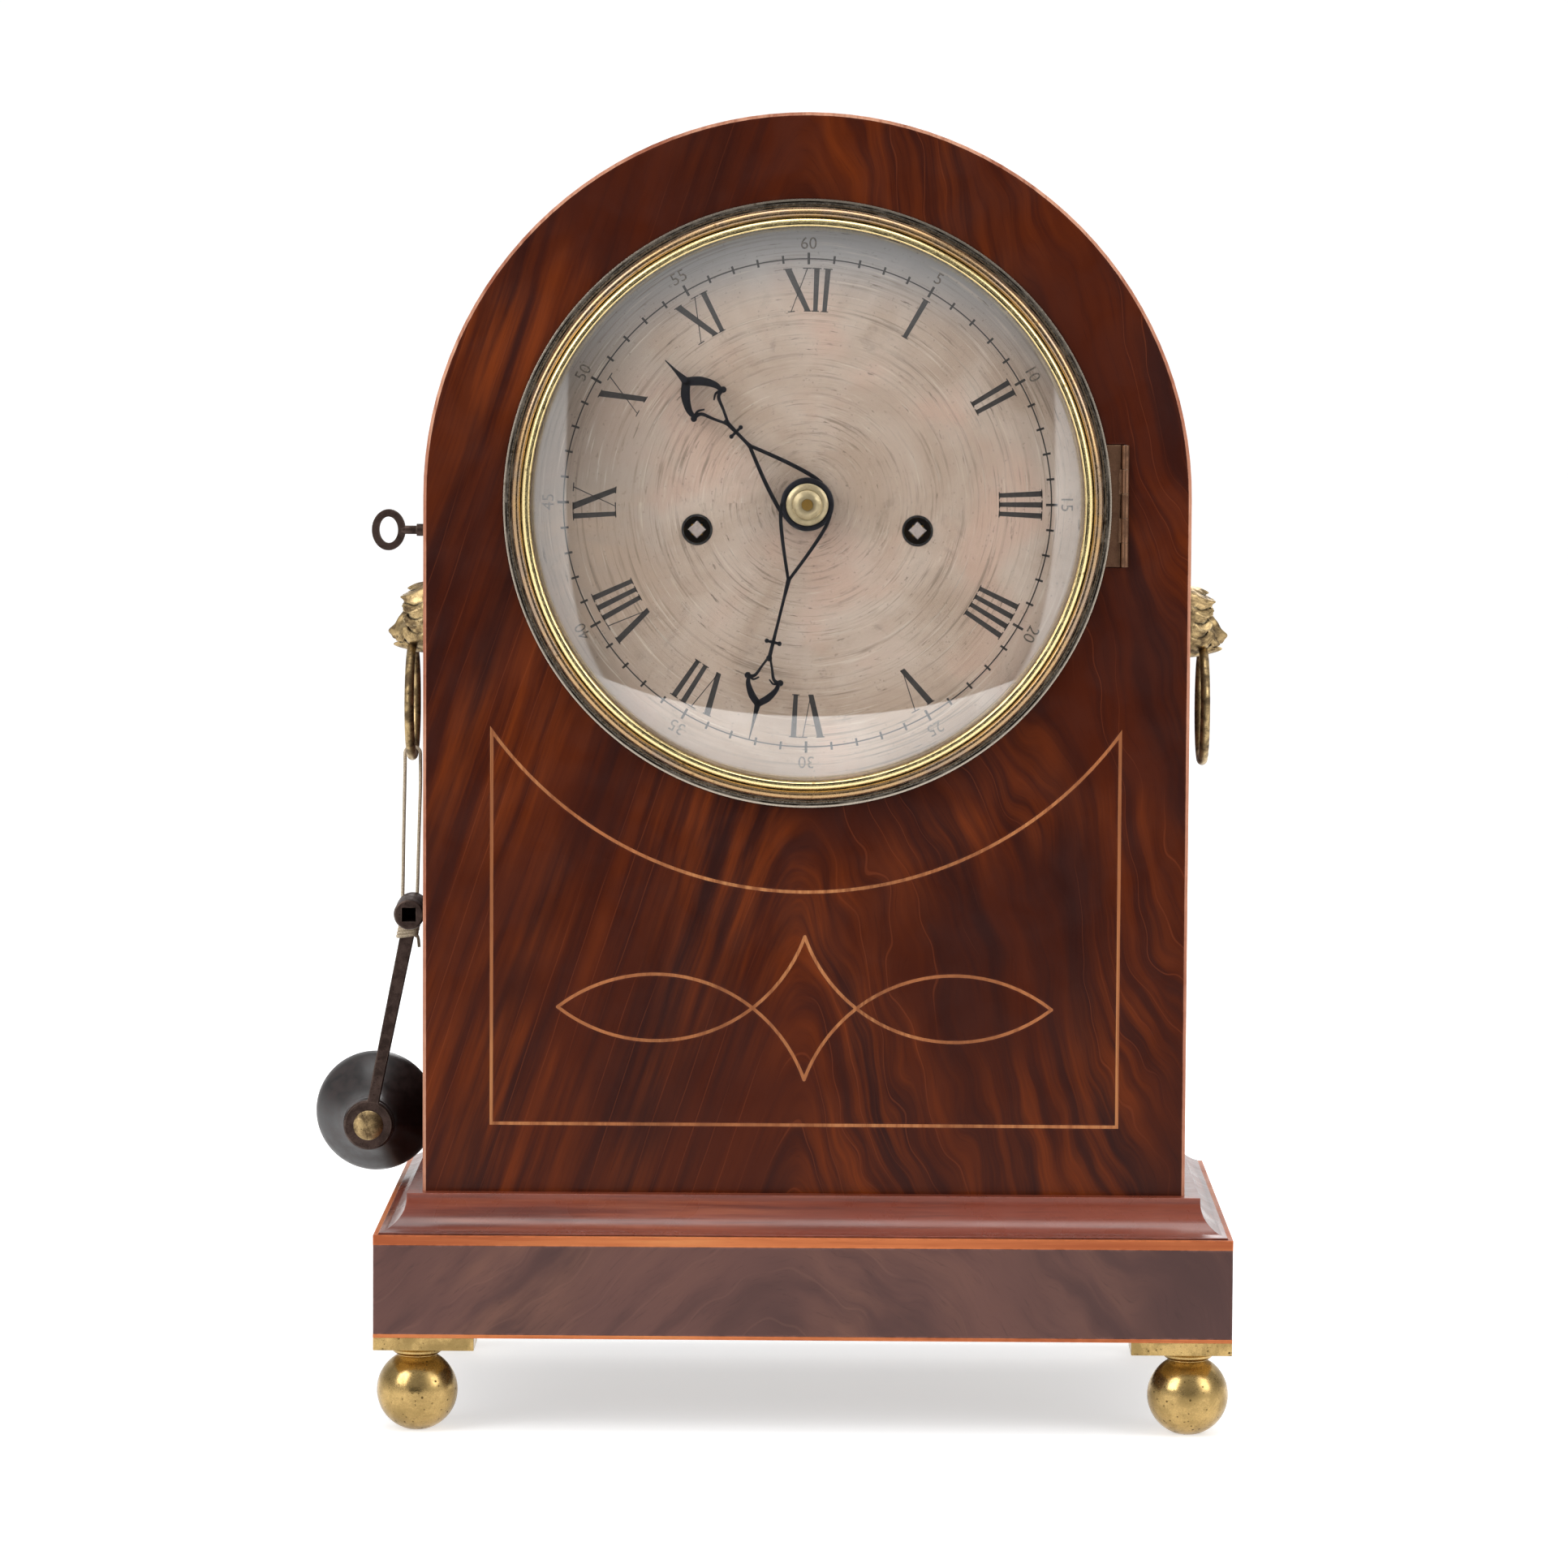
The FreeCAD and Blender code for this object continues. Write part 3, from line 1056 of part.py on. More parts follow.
def arbor(radius):
    """An arbor between the plates with a pivot in each."""
    shake = float(S.end_shake)
    gap, plate = float(S.frame_gap), float(S.frame_thickness)
    return [stem(radius, shake, gap - shake), stem(S.pivot_radius, -plate, gap + plate)]


def make_fusee(label, side, wheel_start):
    """A grooved fusee with its great wheel and the squared arbor that the crank winds."""
    low, high = float(S.fusee_small_radius), float(S.fusee_large_radius)
    thick = float(S.wheel_thickness)
    length = float(S.fusee_length)
    grooves = 8
    pitch = length / grooves
    start = wheel_start - length
    profile = [Vector(0, 0, start)]
    for number in range(grooves):
        share = number / (grooves - 1)
        radius = low + (high - low) * share ** 1.4
        foot = start + pitch * number
        profile += [Vector(radius, 0, foot), Vector(radius, 0, foot + pitch * 0.5),
                    Vector(radius - 1, 0, foot + pitch * 0.6),
                    Vector(radius - 1, 0, foot + pitch * 0.9)]
    profile += [Vector(profile[-1].x, 0, wheel_start), Vector(0, 0, wheel_start)]
    cone = Part.Face(Part.makePolygon(profile + profile[:1])).revolve(
        Vector(0, 0, 0), Vector(0, 0, 1), 360)
    solids = [cone, toothed_wheel(GREAT_TEETH, float(S.great_wheel_radius), thick, wheel_start)]
    shake, plate = float(S.end_shake), float(S.frame_thickness)
    gap = float(S.frame_gap)
    front = float(frame_inner_y - dial_face_y) - shake
    solids.append(stem(fusee_arbor, -plate - shake, gap - shake))
    solids.append(stem(S.pivot_radius, gap - 2 * shake, gap + plate))
    half = float(S.winding_square) / 2
    solids.append(Part.makeBox(2 * half, 2 * half, front - plate,
                               Vector(-half, -half, -front)))
    stand_on_plate(label, solids, S.winding_offset * side, winding_z)


def make_barrel(label, side):
    """The mainspring's drum."""
    start = float(S.end_shake) * 6
    end = start + float(S.barrel_length)
    rim = float(S.barrel_radius)
    solids = arbor(S.arbor_radius) + [stem(rim - 1, start, end),
                                      stem(rim, start, start + 1.5), stem(rim, end - 1.5, end)]
    stand_on_plate(label, solids, barrel_x * side, barrel_z)


GREAT_TEETH, CENTRE_TEETH, THIRD_TEETH, ESCAPE_TEETH, PIN_TEETH = 96, 84, 78, 30, 84
PINION_LEAVES, FINE_LEAVES, STRIKING_PINS = 8, 7, 8
MOTION_TEETH, IDLE_LEAVES, HOUR_TEETH = 40, 6, 72


def make_train():
    """The going train, the strike's first wheels and the motion work under the dial."""
    thick = float(S.wheel_thickness)
    pinion = float(S.pinion_radius)
    make_fusee("going_fusee", 1, float(S.great_wheel_at))
    make_fusee("strike_fusee", -1, float(S.strike_wheel_at))
    make_barrel("going_barrel", 1)
    make_barrel("strike_barrel", -1)

    post_front = -float(frame_inner_y - collet_front_y)
    centre = [stem(S.arbor_radius, post_front, float(S.frame_gap) - float(S.end_shake)),
              stem(S.pivot_radius, 0, float(S.frame_gap + S.frame_thickness)),
              toothed_wheel(CENTRE_TEETH, float(S.centre_wheel_radius), thick,
                            float(S.centre_wheel_at), 4.0),
              toothed_wheel(PINION_LEAVES, pinion, thick * 3, float(S.great_wheel_at) - thick),
              stem(S.minute_pipe_radius, -float(frame_inner_y - minute_hand_back_y),
                   -float(S.frame_thickness + S.end_shake)),
              toothed_wheel(MOTION_TEETH, float(S.motion_wheel_radius), thick, motion_start)]
    stand_on_plate("centre_wheel", centre, 0, dial_z)

    third = arbor(S.arbor_radius) + [
        toothed_wheel(FINE_LEAVES, float(third_pinion), thick * 3,
                      float(S.centre_wheel_at) - thick),
        toothed_wheel(THIRD_TEETH, float(S.third_wheel_radius), thick,
                      float(S.third_wheel_at), 4.0)]
    stand_on_plate("third_wheel", third, S.third_across, dial_z + S.third_up)

    escape = arbor(S.arbor_radius * 0.7) + [
        toothed_wheel(FINE_LEAVES, float(escape_pinion), thick * 3,
                      float(S.third_wheel_at) - thick),
        toothed_wheel(ESCAPE_TEETH, float(S.escape_wheel_radius), thick,
                      float(S.escape_wheel_at), 3.0, 0.3)]
    stand_on_plate("escape_wheel", escape, 0, dial_z + S.escape_up)

    pins = arbor(S.arbor_radius) + [
        toothed_wheel(PINION_LEAVES, float(pin_pinion), thick * 3,
                      float(S.strike_wheel_at) - thick),
        toothed_wheel(PIN_TEETH, float(S.pin_wheel_radius), thick, float(S.pin_wheel_at), 4.0)]
    pin_radius = float(S.striking_pin_radius)
    pin_circle = float(S.pin_wheel_radius) - pin_radius - 0.4
    for number in range(STRIKING_PINS):
        angle = 2 * math.pi * number / STRIKING_PINS
        spot = Vector(pin_circle * math.cos(angle), pin_circle * math.sin(angle),
                      float(S.pin_wheel_at))
        pins.append(Part.makeCylinder(pin_radius, thick + 3, spot))
    stand_on_plate("pin_wheel", pins, -pin_across, dial_z + pin_up)

    pipe = stem(S.hour_pipe_radius, -float(frame_inner_y - hour_hand_back_y), hour_start + thick)
    hour = pipe.fuse(toothed_wheel(HOUR_TEETH, float(S.hour_wheel_radius), thick, hour_start, 5.0))
    hour = hour.cut(stem(S.minute_pipe_radius + S.pipe_fit, -60, 0))
    stand_on_plate("hour_wheel", [hour.removeSplitter()], 0, dial_z)

    idle = [toothed_wheel(MOTION_TEETH, float(S.motion_wheel_radius), thick, motion_start, 3.5),
            toothed_wheel(IDLE_LEAVES, float(idle_span - S.hour_wheel_radius - S.tooth_clearance),
                          thick * 2, hour_start - thick * 0.4),
            stem(S.arbor_radius, hour_start, -float(S.frame_thickness + S.end_shake)),
            stem(S.pivot_radius, motion_start, 0)]
    stand_on_plate("minute_wheel", idle, -idle_across, dial_z + idle_up)


collet_front_y = dial_face_y - S.collet_post
minute_hand_back_y = dial_face_y - S.hour_hand_stand - S.hand_thickness - S.hand_spacing
hour_hand_back_y = dial_face_y - S.hour_hand_stand
motion_start = -float(S.frame_thickness + S.motion_gap)
hour_start = motion_start - float(S.motion_gap)
idle_span = S.motion_wheel_radius * 2 + S.tooth_clearance
idle_across, idle_up = idle_span / 2, root(idle_span * idle_span * 0.75)
third_span = root(S.third_across * S.third_across + S.third_up * S.third_up)
third_pinion = third_span - S.centre_wheel_radius - S.tooth_clearance
escape_rise = S.escape_up - S.third_up
escape_span = root(S.third_across * S.third_across + escape_rise * escape_rise)
escape_pinion = escape_span - S.third_wheel_radius - S.tooth_clearance
pin_rise = pin_up + S.winding_drop
pin_span = root(S.pin_wheel_across * S.pin_wheel_across + pin_rise * pin_rise)
pin_pinion = pin_span - S.great_wheel_radius - S.tooth_clearance


# ---------------------------------------------------------------- escapement and pendulum
pendulum_y = frame_back_y + S.pendulum_back
pivot_z = dial_z + S.pallet_up


def make_escapement():
    """The anchor over the escape wheel, its crutch behind, and the pendulum it drives."""
    reach = float(S.pallet_up - S.escape_up)
    wheel = float(S.escape_wheel_radius)
    thick = float(S.wheel_thickness)
    hub, span = 3.2, wheel * 0.8
    drop = reach - math.sqrt((wheel + float(S.pallet_clearance)) ** 2 - span ** 2)
    outline = [Vector(0, hub, 0), Vector(span + 1.4, -drop * 0.55, 0), Vector(span + 1.0, -drop, 0),
               Vector(span - 1.0, -drop + 1.2, 0), Vector(span - 1.4, -drop * 0.6, 0),
               Vector(0, -hub, 0), Vector(-span + 1.4, -drop * 0.6, 0),
               Vector(-span + 1.0, -drop + 1.2, 0), Vector(-span - 1.0, -drop, 0),
               Vector(-span - 1.4, -drop * 0.55, 0)]
    anchor = Part.Face(Part.makePolygon(outline + outline[:1])).extrude(Vector(0, 0, thick))
    anchor.rotate(Vector(0, 0, 0), Vector(1, 0, 0), 180)
    anchor.translate(Vector(0, 0, float(S.escape_wheel_at) + thick))
    behind = float(pendulum_y - frame_inner_y)
    length = float(S.crutch_length)
    crutch_at = float(S.frame_gap + S.frame_thickness + S.cock_thickness)
    rod_radius, fit = float(S.pendulum_rod_radius), float(S.crutch_fit)
    wire = 1.0
    solids = [stem(S.arbor_radius, float(S.end_shake), crutch_at + 3 * wire),
              stem(S.pivot_radius, -float(S.frame_thickness), 1), anchor,
              Part.makeBox(2 * wire, length, 2 * wire, Vector(-wire, 0, crutch_at + wire))]
    for side in (1, -1):
        inner = rod_radius + fit
        start = inner if side > 0 else -inner - wire
        solids.append(Part.makeBox(wire, 2 * wire, behind - crutch_at + 2,
                                   Vector(start, length - 2 * wire, crutch_at + wire)))
    solids.append(Part.makeBox(2 * (rod_radius + fit + wire), 2 * wire, 2 * wire,
                               Vector(-rod_radius - fit - wire, length - 2 * wire,
                                      crutch_at + wire)))
    stand_on_plate("pallets_and_crutch", solids, 0, pivot_z)

    cock_top = pivot_z + S.frame_above / 9
    half = S.frame_above / 6
    plate = block("cock_foot", -half, half, frame_back_y, frame_back_y + S.cock_thickness,
                  pivot_z - S.frame_above / 9, cock_top)
    shelf = block("cock_arm", -half / 3, half / 3, frame_back_y,
                  pendulum_y + S.cock_thickness, cock_top - S.cock_thickness, cock_top)
    clear = rod("cock_clear", S.arbor_radius + S.end_shake * 2, S.cock_thickness + 2, 0,
                frame_back_y - 1, pivot_z, "+Y")
    keep(cut("cock", fuse("cock_joined", plate, shelf), clear), "back_cock")

    top = cock_top - S.cock_thickness - S.end_shake
    bob_z = pivot_z - S.pendulum_length
    rod_low = bob_z - S.bob_radius - 12
    keep(rod("pendulum_wire", S.pendulum_rod_radius, top - rod_low, 0, pendulum_y, rod_low),
         "pendulum_rod")
    radius, half = S.bob_radius, S.bob_thickness / 2
    sphere = (radius * radius + half * half) / (half * 2)
    lens = turned("bob_lens", [(0, -half), (radius, 0), (0, half)],
                  {0: (sphere, 1), 1: (sphere, 1)})
    place(lens, 0, pendulum_y, bob_z, ALONG["+Y"])
    nut = rod("rating_nut", S.pendulum_rod_radius * 3, 4, 0, pendulum_y,
              bob_z - S.bob_radius - 5)
    bore = rod("bob_bore", S.pendulum_rod_radius + S.seated_fit, S.bob_radius * 3, 0, pendulum_y,
               bob_z - S.bob_radius * 1.5)
    keep(cut("bob", group("bob_and_nut", lens, nut), bore), "pendulum_bob")


# ---------------------------------------------------------------- bell and hammer
bell_z = dial_z + S.bell_up
bell_y = frame_rear_y - S.bell_forward


def make_bell():
    """A bell on its standard above the plates, and the hammer beside its rim."""
    radius, height, wall = S.bell_radius, S.bell_height, S.bell_wall
    hole = S.arbor_radius + S.pivot_fit
    profile = [(radius - wall, 0), (radius, 0), (radius * 0.62, height * 0.8),
               (hole, height), (hole, height - wall), (radius * 0.55, height * 0.8 - wall)]
    arcs = {1: (radius * 1.1, 1), 2: (radius, 1), 4: (radius, -1), 5: (radius, -1)}
    bell = turned("bell_cast", profile, arcs)
    keep(place(bell, 0, bell_y, bell_z), "bell")
    plate_top = dial_z + S.frame_above
    stand_z = plate_top + S.cock_thickness
    foot = block("bell_bar", -S.pillar_radius, S.pillar_radius, bell_y - S.pillar_radius,
                 frame_back_y, plate_top, stand_z)
    post = rod("bell_post", S.arbor_radius, bell_z + height + 5 - stand_z, 0, bell_y, stand_z)
    collar = rod("bell_collar", S.arbor_radius * 2, bell_z + height - wall * 2 - stand_z,
                 0, bell_y, stand_z)
    nut = rod("bell_nut", S.arbor_radius * 2, 3, 0, bell_y, bell_z + height + S.pivot_fit)
    keep(fuse("bell_stand_joined", foot, post, collar, nut), "bell_stand")

    at = float(bell_y - frame_inner_y)
    head_x = -float(S.bell_radius + S.hammer_gap)
    rise = float(bell_z - (dial_z + S.hammer_up)) + 1
    lever = float(S.hammer_across) + head_x
    solids = arbor(S.arbor_radius)
    solids.append(Part.makeBox(3, rise, 3, Vector(-1.5, -rise, at - 1.5)))
    solids.append(Part.makeCylinder(4, lever, Vector(0, -rise + 2, at), Vector(1, 0, 0)))
    stand_on_plate("hammer", solids, -S.hammer_across, dial_z + S.hammer_up)


# ---------------------------------------------------------------- hands
def stroke(points, width):
    """A flat strip with round ends along an arc through three points, or a line."""
    spots = [Vector(across, along, 0) for along, across in points]
    if len(spots) == 3:
        path = Part.Wire([Part.Arc(*spots).toShape()])
        return Part.Face(path.makeOffset2D(width / 2, join=0, fill=False, openResult=False))
    start, end = spots
    way = (end - start).normalize()
    side = Vector(-way.y, way.x, 0) * (width / 2)
    along = way * (width / 2)
    edges = [Part.LineSegment(start + side, end + side),
             Part.Arc(end + side, end + along, end - side),
             Part.LineSegment(end - side, start - side),
             Part.Arc(start - side, start - along, start + side)]
    return Part.Face(Part.Wire([edge.toShape() for edge in edges]))


def hand(label, back_y, bore):
    """A pierced hand: ring boss, wishbone arms, a small cross, tulip head and spear tip."""
    length, angle, meet, cross, split, knob_at, knob_out, heart_at = [
        float(getattr(S, "%s_%s" % (label, name)))
        for name in ("length", "angle", "meet", "cross", "split", "knob_at", "knob_out", "heart")]
    boss, rim = float(S.hand_boss_radius), float(S.hand_rim)
    width, thick = float(S.hand_stroke), float(S.hand_thickness)
    faces = []
    for side in (1, -1):
        out = side * knob_out
        faces.append(stroke([(boss - rim / 2, side * 1.0), (boss + (meet - boss) * 0.45, side * 3.6),
                             (meet, 0)], width))
        middle = (split + knob_at) / 2
        faces.append(stroke([(split, 0), (middle, out * 0.85), (knob_at + 1, out)], width))
        faces.append(stroke([(knob_at - 2.5, out * 0.35), (knob_at - 0.5, out * 0.9),
                             (knob_at + 1, out)], width))
        inner = (knob_at + heart_at) / 2 + 1
        faces.append(stroke([(knob_at - 2.5, out * 0.35), (inner, out * 0.62), (heart_at, 0)],
                            width * 1.2))
    faces.append(stroke([(meet - 1, 0), (split + 0.5, 0)], width))
    faces.append(stroke([(cross, -2.6), (cross, 2.6)], width * 0.9))
    faces.append(Part.Face(Part.makePolygon([
        Vector(-0.9, heart_at - 1, 0), Vector(0.9, heart_at - 1, 0), Vector(1.5, heart_at + 3, 0),
        Vector(0.25, length, 0), Vector(-0.25, length, 0), Vector(-1.5, heart_at + 3, 0),
        Vector(-0.9, heart_at - 1, 0)])))
    solids = [face.extrude(Vector(0, 0, thick)) for face in faces]
    solids.append(Part.makeCylinder(boss, thick))
    whole = solids[0].multiFuse(solids[1:]).cut(Part.makeCylinder(float(bore), thick))
    for turn in (0, 180):
        hole = Part.makeCylinder(boss * 0.18, thick, Vector(boss * 0.62, 0, 0))
        hole.rotate(Vector(0, 0, 0), Vector(0, 0, 1), turn)
        whole = whole.cut(hole)
    item = shaped(label + "_pierced", whole.removeSplitter())
    spin = FreeCAD.Rotation(Vector(0, 1, 0), angle)
    item.Placement = FreeCAD.Placement(Vector(0, float(back_y), float(dial_z)),
                                       spin.multiply(ALONG["-Y"]))
    return keep(item, label)


def make_hands():
    """Blued hands at about half past ten, and the brass collet that holds them."""
    seat = S.arbor_radius + S.seated_fit
    hand("hour_hand", hour_hand_back_y, S.minute_pipe_radius + S.pipe_fit)
    hand("minute_hand", minute_hand_back_y, seat)
    front = minute_hand_back_y - S.hand_thickness
    profile = [(seat, 0), (S.collet_radius, 0), (S.collet_radius, S.collet_height * 0.35),
               (S.arbor_radius * 1.6, S.collet_height), (seat, S.collet_height)]
    collet = turned("collet_dome", profile, {2: (S.collet_radius * 1.2, 1)})
    keep(place(collet, 0, front, dial_z, ALONG["-Y"]), "hand_collet")


# ---------------------------------------------------------------- the whole clock
make_feet()
make_plinth()
make_case()
make_bezel()
bezel_pin = make_bezel_hinge()
make_lock()
make_mask()
make_rings()
make_crank()
door_pins = make_back_door()
keep(group("pins", bezel_pin, *door_pins), "hinge_pins")
make_seat()
make_frame()
make_train()
make_escapement()
make_bell()
make_hands()
doc.recompute()

failed = [item for item in doc.Objects if "Invalid" in item.State or "Error" in item.State]
if failed:
    raise RuntimeError("did not build: %s" % [(item.Name, item.State) for item in failed])
for item in sub_parts:
    if item.Shape.isNull() or not item.Shape.isValid():
        raise RuntimeError("%s has no valid shape" % item.Label)

os.makedirs("parts", exist_ok=True)
for item in sub_parts:
    item.Shape.exportStep("parts/%s.step" % item.Label)
print("%d sub-parts" % len(sub_parts))
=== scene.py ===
"""Bracket clock: its finishes, turned and carved pieces, floor, lamps and camera."""
import json
import math

import bmesh
import bpy
import numpy as np
from bpy.props import FloatProperty, FloatVectorProperty, PointerProperty
from mathutils import Matrix, Vector


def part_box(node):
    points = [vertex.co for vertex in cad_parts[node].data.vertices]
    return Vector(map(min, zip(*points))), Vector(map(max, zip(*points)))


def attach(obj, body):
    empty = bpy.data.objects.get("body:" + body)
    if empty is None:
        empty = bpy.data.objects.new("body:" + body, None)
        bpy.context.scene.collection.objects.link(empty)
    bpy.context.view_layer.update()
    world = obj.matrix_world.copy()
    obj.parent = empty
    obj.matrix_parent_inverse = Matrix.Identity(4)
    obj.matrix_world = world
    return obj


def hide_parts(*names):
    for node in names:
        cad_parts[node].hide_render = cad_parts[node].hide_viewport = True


bl_info = {
    "name": "Bracket Clock",
    "version": (1, 0, 0),
    "blender": (4, 5, 0),
    "location": "View3D > Sidebar > Clock",
    "description": "Builds the finishes and fine pieces of an arch-topped bracket clock",
    "category": "Object",
}

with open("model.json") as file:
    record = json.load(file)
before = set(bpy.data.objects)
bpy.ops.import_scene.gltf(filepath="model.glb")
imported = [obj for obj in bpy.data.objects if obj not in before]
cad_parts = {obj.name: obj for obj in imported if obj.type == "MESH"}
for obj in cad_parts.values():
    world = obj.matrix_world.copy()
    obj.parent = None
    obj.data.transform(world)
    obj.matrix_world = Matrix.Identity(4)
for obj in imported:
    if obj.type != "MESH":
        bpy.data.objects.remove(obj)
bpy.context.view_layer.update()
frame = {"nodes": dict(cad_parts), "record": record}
NODES = frame["nodes"]
RECORD = frame["record"]
BODY_OF = {n: b for b, ns in RECORD["behaviour"]["bodies"].items() for n in ns}
MM = 0.001


def box_mm(node):
    """The lowest and highest corner of a node at rest, in millimetres."""
    low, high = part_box(node)
    return np.array(low) / MM, np.array(high) / MM


CASE_LOW, CASE_HIGH = box_mm("case_front")
BEZEL_LOW, BEZEL_HIGH = box_mm("bezel")
CASE_HALF = float(CASE_HIGH[0])
SPRING_Z = float(CASE_HIGH[2]) - CASE_HALF
CASE_MID_Y = (CASE_LOW[1] + box_mm("case_carcass")[1][1]) / 2
DIAL_Z = (BEZEL_LOW[2] + BEZEL_HIGH[2]) / 2
DIAL_FACE = box_mm("dial_plate")[0][1]


# ---------------------------------------------------------------- meshes from arrays
def linear(code):
    """A web colour as linear red, green and blue; such numbers pass as they are."""
    if not isinstance(code, str):
        return tuple(code)
    parts = np.array([int(code[i:i + 2], 16) for i in (1, 3, 5)]) / 255
    return tuple(np.where(parts <= 0.04045, parts / 12.92, ((parts + 0.055) / 1.055) ** 2.4))


def grid_faces(rows, columns, wrap_rows=False, wrap_columns=False, start=0):
    """The four-sided faces between neighbours of a grid, as an array of vertex numbers."""
    down = np.arange(rows if wrap_rows else rows - 1)
    over = np.arange(columns if wrap_columns else columns - 1)
    i, j = np.meshgrid(down, over, indexing="ij")
    i2, j2 = (i + 1) % rows, (j + 1) % columns
    quads = np.stack([i * columns + j, i2 * columns + j, i2 * columns + j2, i * columns + j2], -1)
    return quads.reshape(-1, 4) + start


class Shape:
    """Vertices in millimetres and faces, added up from several surfaces."""

    def __init__(self):
        self.points, self.faces, self.count = [], [], 0

    def grid(self, points, wrap_rows=False, wrap_columns=False, ends=False):
        """Adds a grid of points; ends closes the first and last row when the columns wrap."""
        rows, columns = points.shape[:2]
        faces = grid_faces(rows, columns, wrap_rows, wrap_columns, self.count).tolist()
        if ends:
            faces.append(list(range(self.count, self.count + columns)))
            last = self.count + (rows - 1) * columns
            faces.append(list(range(last, last + columns)))
        self.points.append(points.reshape(-1, 3))
        self.faces += faces
        self.count += rows * columns
        return self

    def mesh(self, vertices, polygons):
        """Adds ready vertices and polygons."""
        self.points.append(vertices)
        self.faces += [[v + self.count for v in face] for face in polygons]
        self.count += len(vertices)
        return self

    def moved(self, change):
        """All vertices after a function of an (n, 3) array."""
        self.points = [change(p) for p in self.points]
        return self

    def piece(self, name, body, material, slot, replaces=(), sharp=40.0, bevel=0.0, weld=0.004):
        """The object: doubles merged, normals outwards, smooth with sharp edges by angle."""
        mesh = bpy.data.meshes.new(name)
        vertices = np.concatenate(self.points) * MM
        mesh.from_pydata(vertices.tolist(), [], self.faces)
        return finish(mesh, name, body, material, replaces, sharp, bevel, weld)


def finish(mesh, name, body, material, replaces=(), sharp=40.0, bevel=0.0, weld=0.004,
           merged=False):
    """Merges, turns outwards and shades a mesh, and makes it a piece that rides on its body."""
    work = bmesh.new()
    work.from_mesh(mesh)
    bmesh.ops.remove_doubles(work, verts=work.verts, dist=weld * MM)
    if merged:
        bmesh.ops.dissolve_limit(work, angle_limit=math.radians(0.05), verts=work.verts,
                                 edges=work.edges)
    bmesh.ops.recalc_face_normals(work, faces=work.faces)
    work.to_mesh(mesh)
    work.free()
    mesh.materials.clear()
    mesh.materials.append(material)
    mesh.shade_smooth()
    mesh.set_sharp_from_angle(angle=math.radians(sharp))
    piece = bpy.data.objects.new(name, mesh)
    bpy.context.scene.collection.objects.link(piece)
    if bevel:
        rounding = piece.modifiers.new("Softened edges", "BEVEL")
        rounding.width = bevel * MM
        rounding.segments = 2
        rounding.limit_method = "ANGLE"
        rounding.angle_limit = math.radians(35)
        rounding.harden_normals = True
    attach(piece, body)
    if replaces:
        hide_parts(*replaces)
    return piece


def dressed(node, material, bevel=0.35, sharp=30.0, merged=False):
    """A copy of a CAD node with softened edges, which stands for the node.

    Merged, its flat faces lose the long slivers that the edge rounding would crease.
    """
    mesh = NODES[node].data.copy()
    mesh.name = node + "_dressed"
    if mesh.has_custom_normals:
        mesh.attributes.remove(mesh.attributes["custom_normal"])
    return finish(mesh, node + "_dressed", BODY_OF[node], material, (node,),
                  sharp, bevel, 0.002, merged)


def size(name):
    """One of the user's sizes, in millimetres."""
    return round(getattr(bpy.context.scene.clock_sizes, name) / MM, 4)


def paint(node, material):
    """Gives a CAD node its finish."""
    NODES[node].data.materials.clear()
    NODES[node].data.materials.append(material)


def through(points, steps):
    """A smooth curve through the points: Catmull-Rom, a cubic between each two neighbours."""
    p = np.asarray(points, float)
    p = np.vstack([2 * p[0] - p[1], p, 2 * p[-1] - p[-2]])
    t = np.linspace(0, 1, steps, endpoint=False)[None, :, None]
    a, b, c, d = p[:-3, None], p[1:-2, None], p[2:-1, None], p[3:, None]
    curve = 0.5 * (2 * b + (c - a) * t + (2 * a - 5 * b + 4 * c - d) * t ** 2
                   + (3 * b - a - 3 * c + d) * t ** 3)
    return np.vstack([curve.reshape(-1, p.shape[1]), p[-2]])


def turned(profile, sides=96, closed=True):
    """Profile rows (radius, along) carried round the Z axis; returns a (rows, sides, 3) grid."""
    profile = np.asarray(profile, float)
    if closed:
        profile = np.vstack([profile, profile[:1]])
    angle = np.linspace(0, 2 * np.pi, sides, endpoint=False)
    radius, along = profile[:, :1], profile[:, 1:]
    return np.stack([radius * np.cos(angle), radius * np.sin(angle),
                     np.repeat(along, sides, 1)], -1)


def facing(points, x=0.0, y=0.0, z=0.0):
    """Turns a shape made round Z so that its axis runs towards the front, -Y, and places it."""
    return np.stack([points[..., 0] + x, y - points[..., 2], points[..., 1] + z], -1)


def along_y(points, x=0.0, y=0.0, z=0.0):
    """Turns a shape made round Z so that its axis runs towards the back, +Y, and places it."""
    return np.stack([points[..., 0] + x, y + points[..., 2], points[..., 1] + z], -1)


def swept(path, section, normal):
    """A section of (across, up) points carried along a path; up is the given normal."""
    path = np.asarray(path, float)
    tangent = np.gradient(path, axis=0)
    tangent /= np.linalg.norm(tangent, axis=1, keepdims=True)
    normal = np.broadcast_to(np.asarray(normal, float), path.shape)
    across = np.cross(tangent, normal)
    across /= np.linalg.norm(across, axis=1, keepdims=True)
    up = np.cross(across, tangent)
    section = np.broadcast_to(section, (len(path),) + np.shape(section)[-2:])
    return (path[:, None] + section[..., :1] * across[:, None] + section[..., 1:] * up[:, None])


def round_section(radius, sides=10):
    """A circle of one radius, or one for each point of the path."""
    angle = np.linspace(0, 2 * np.pi, sides, endpoint=False)
    ring = np.stack([np.cos(angle), np.sin(angle)], -1)
    radius = np.asarray(radius, float)
    return radius[..., None, None] * ring if radius.ndim else radius * ring


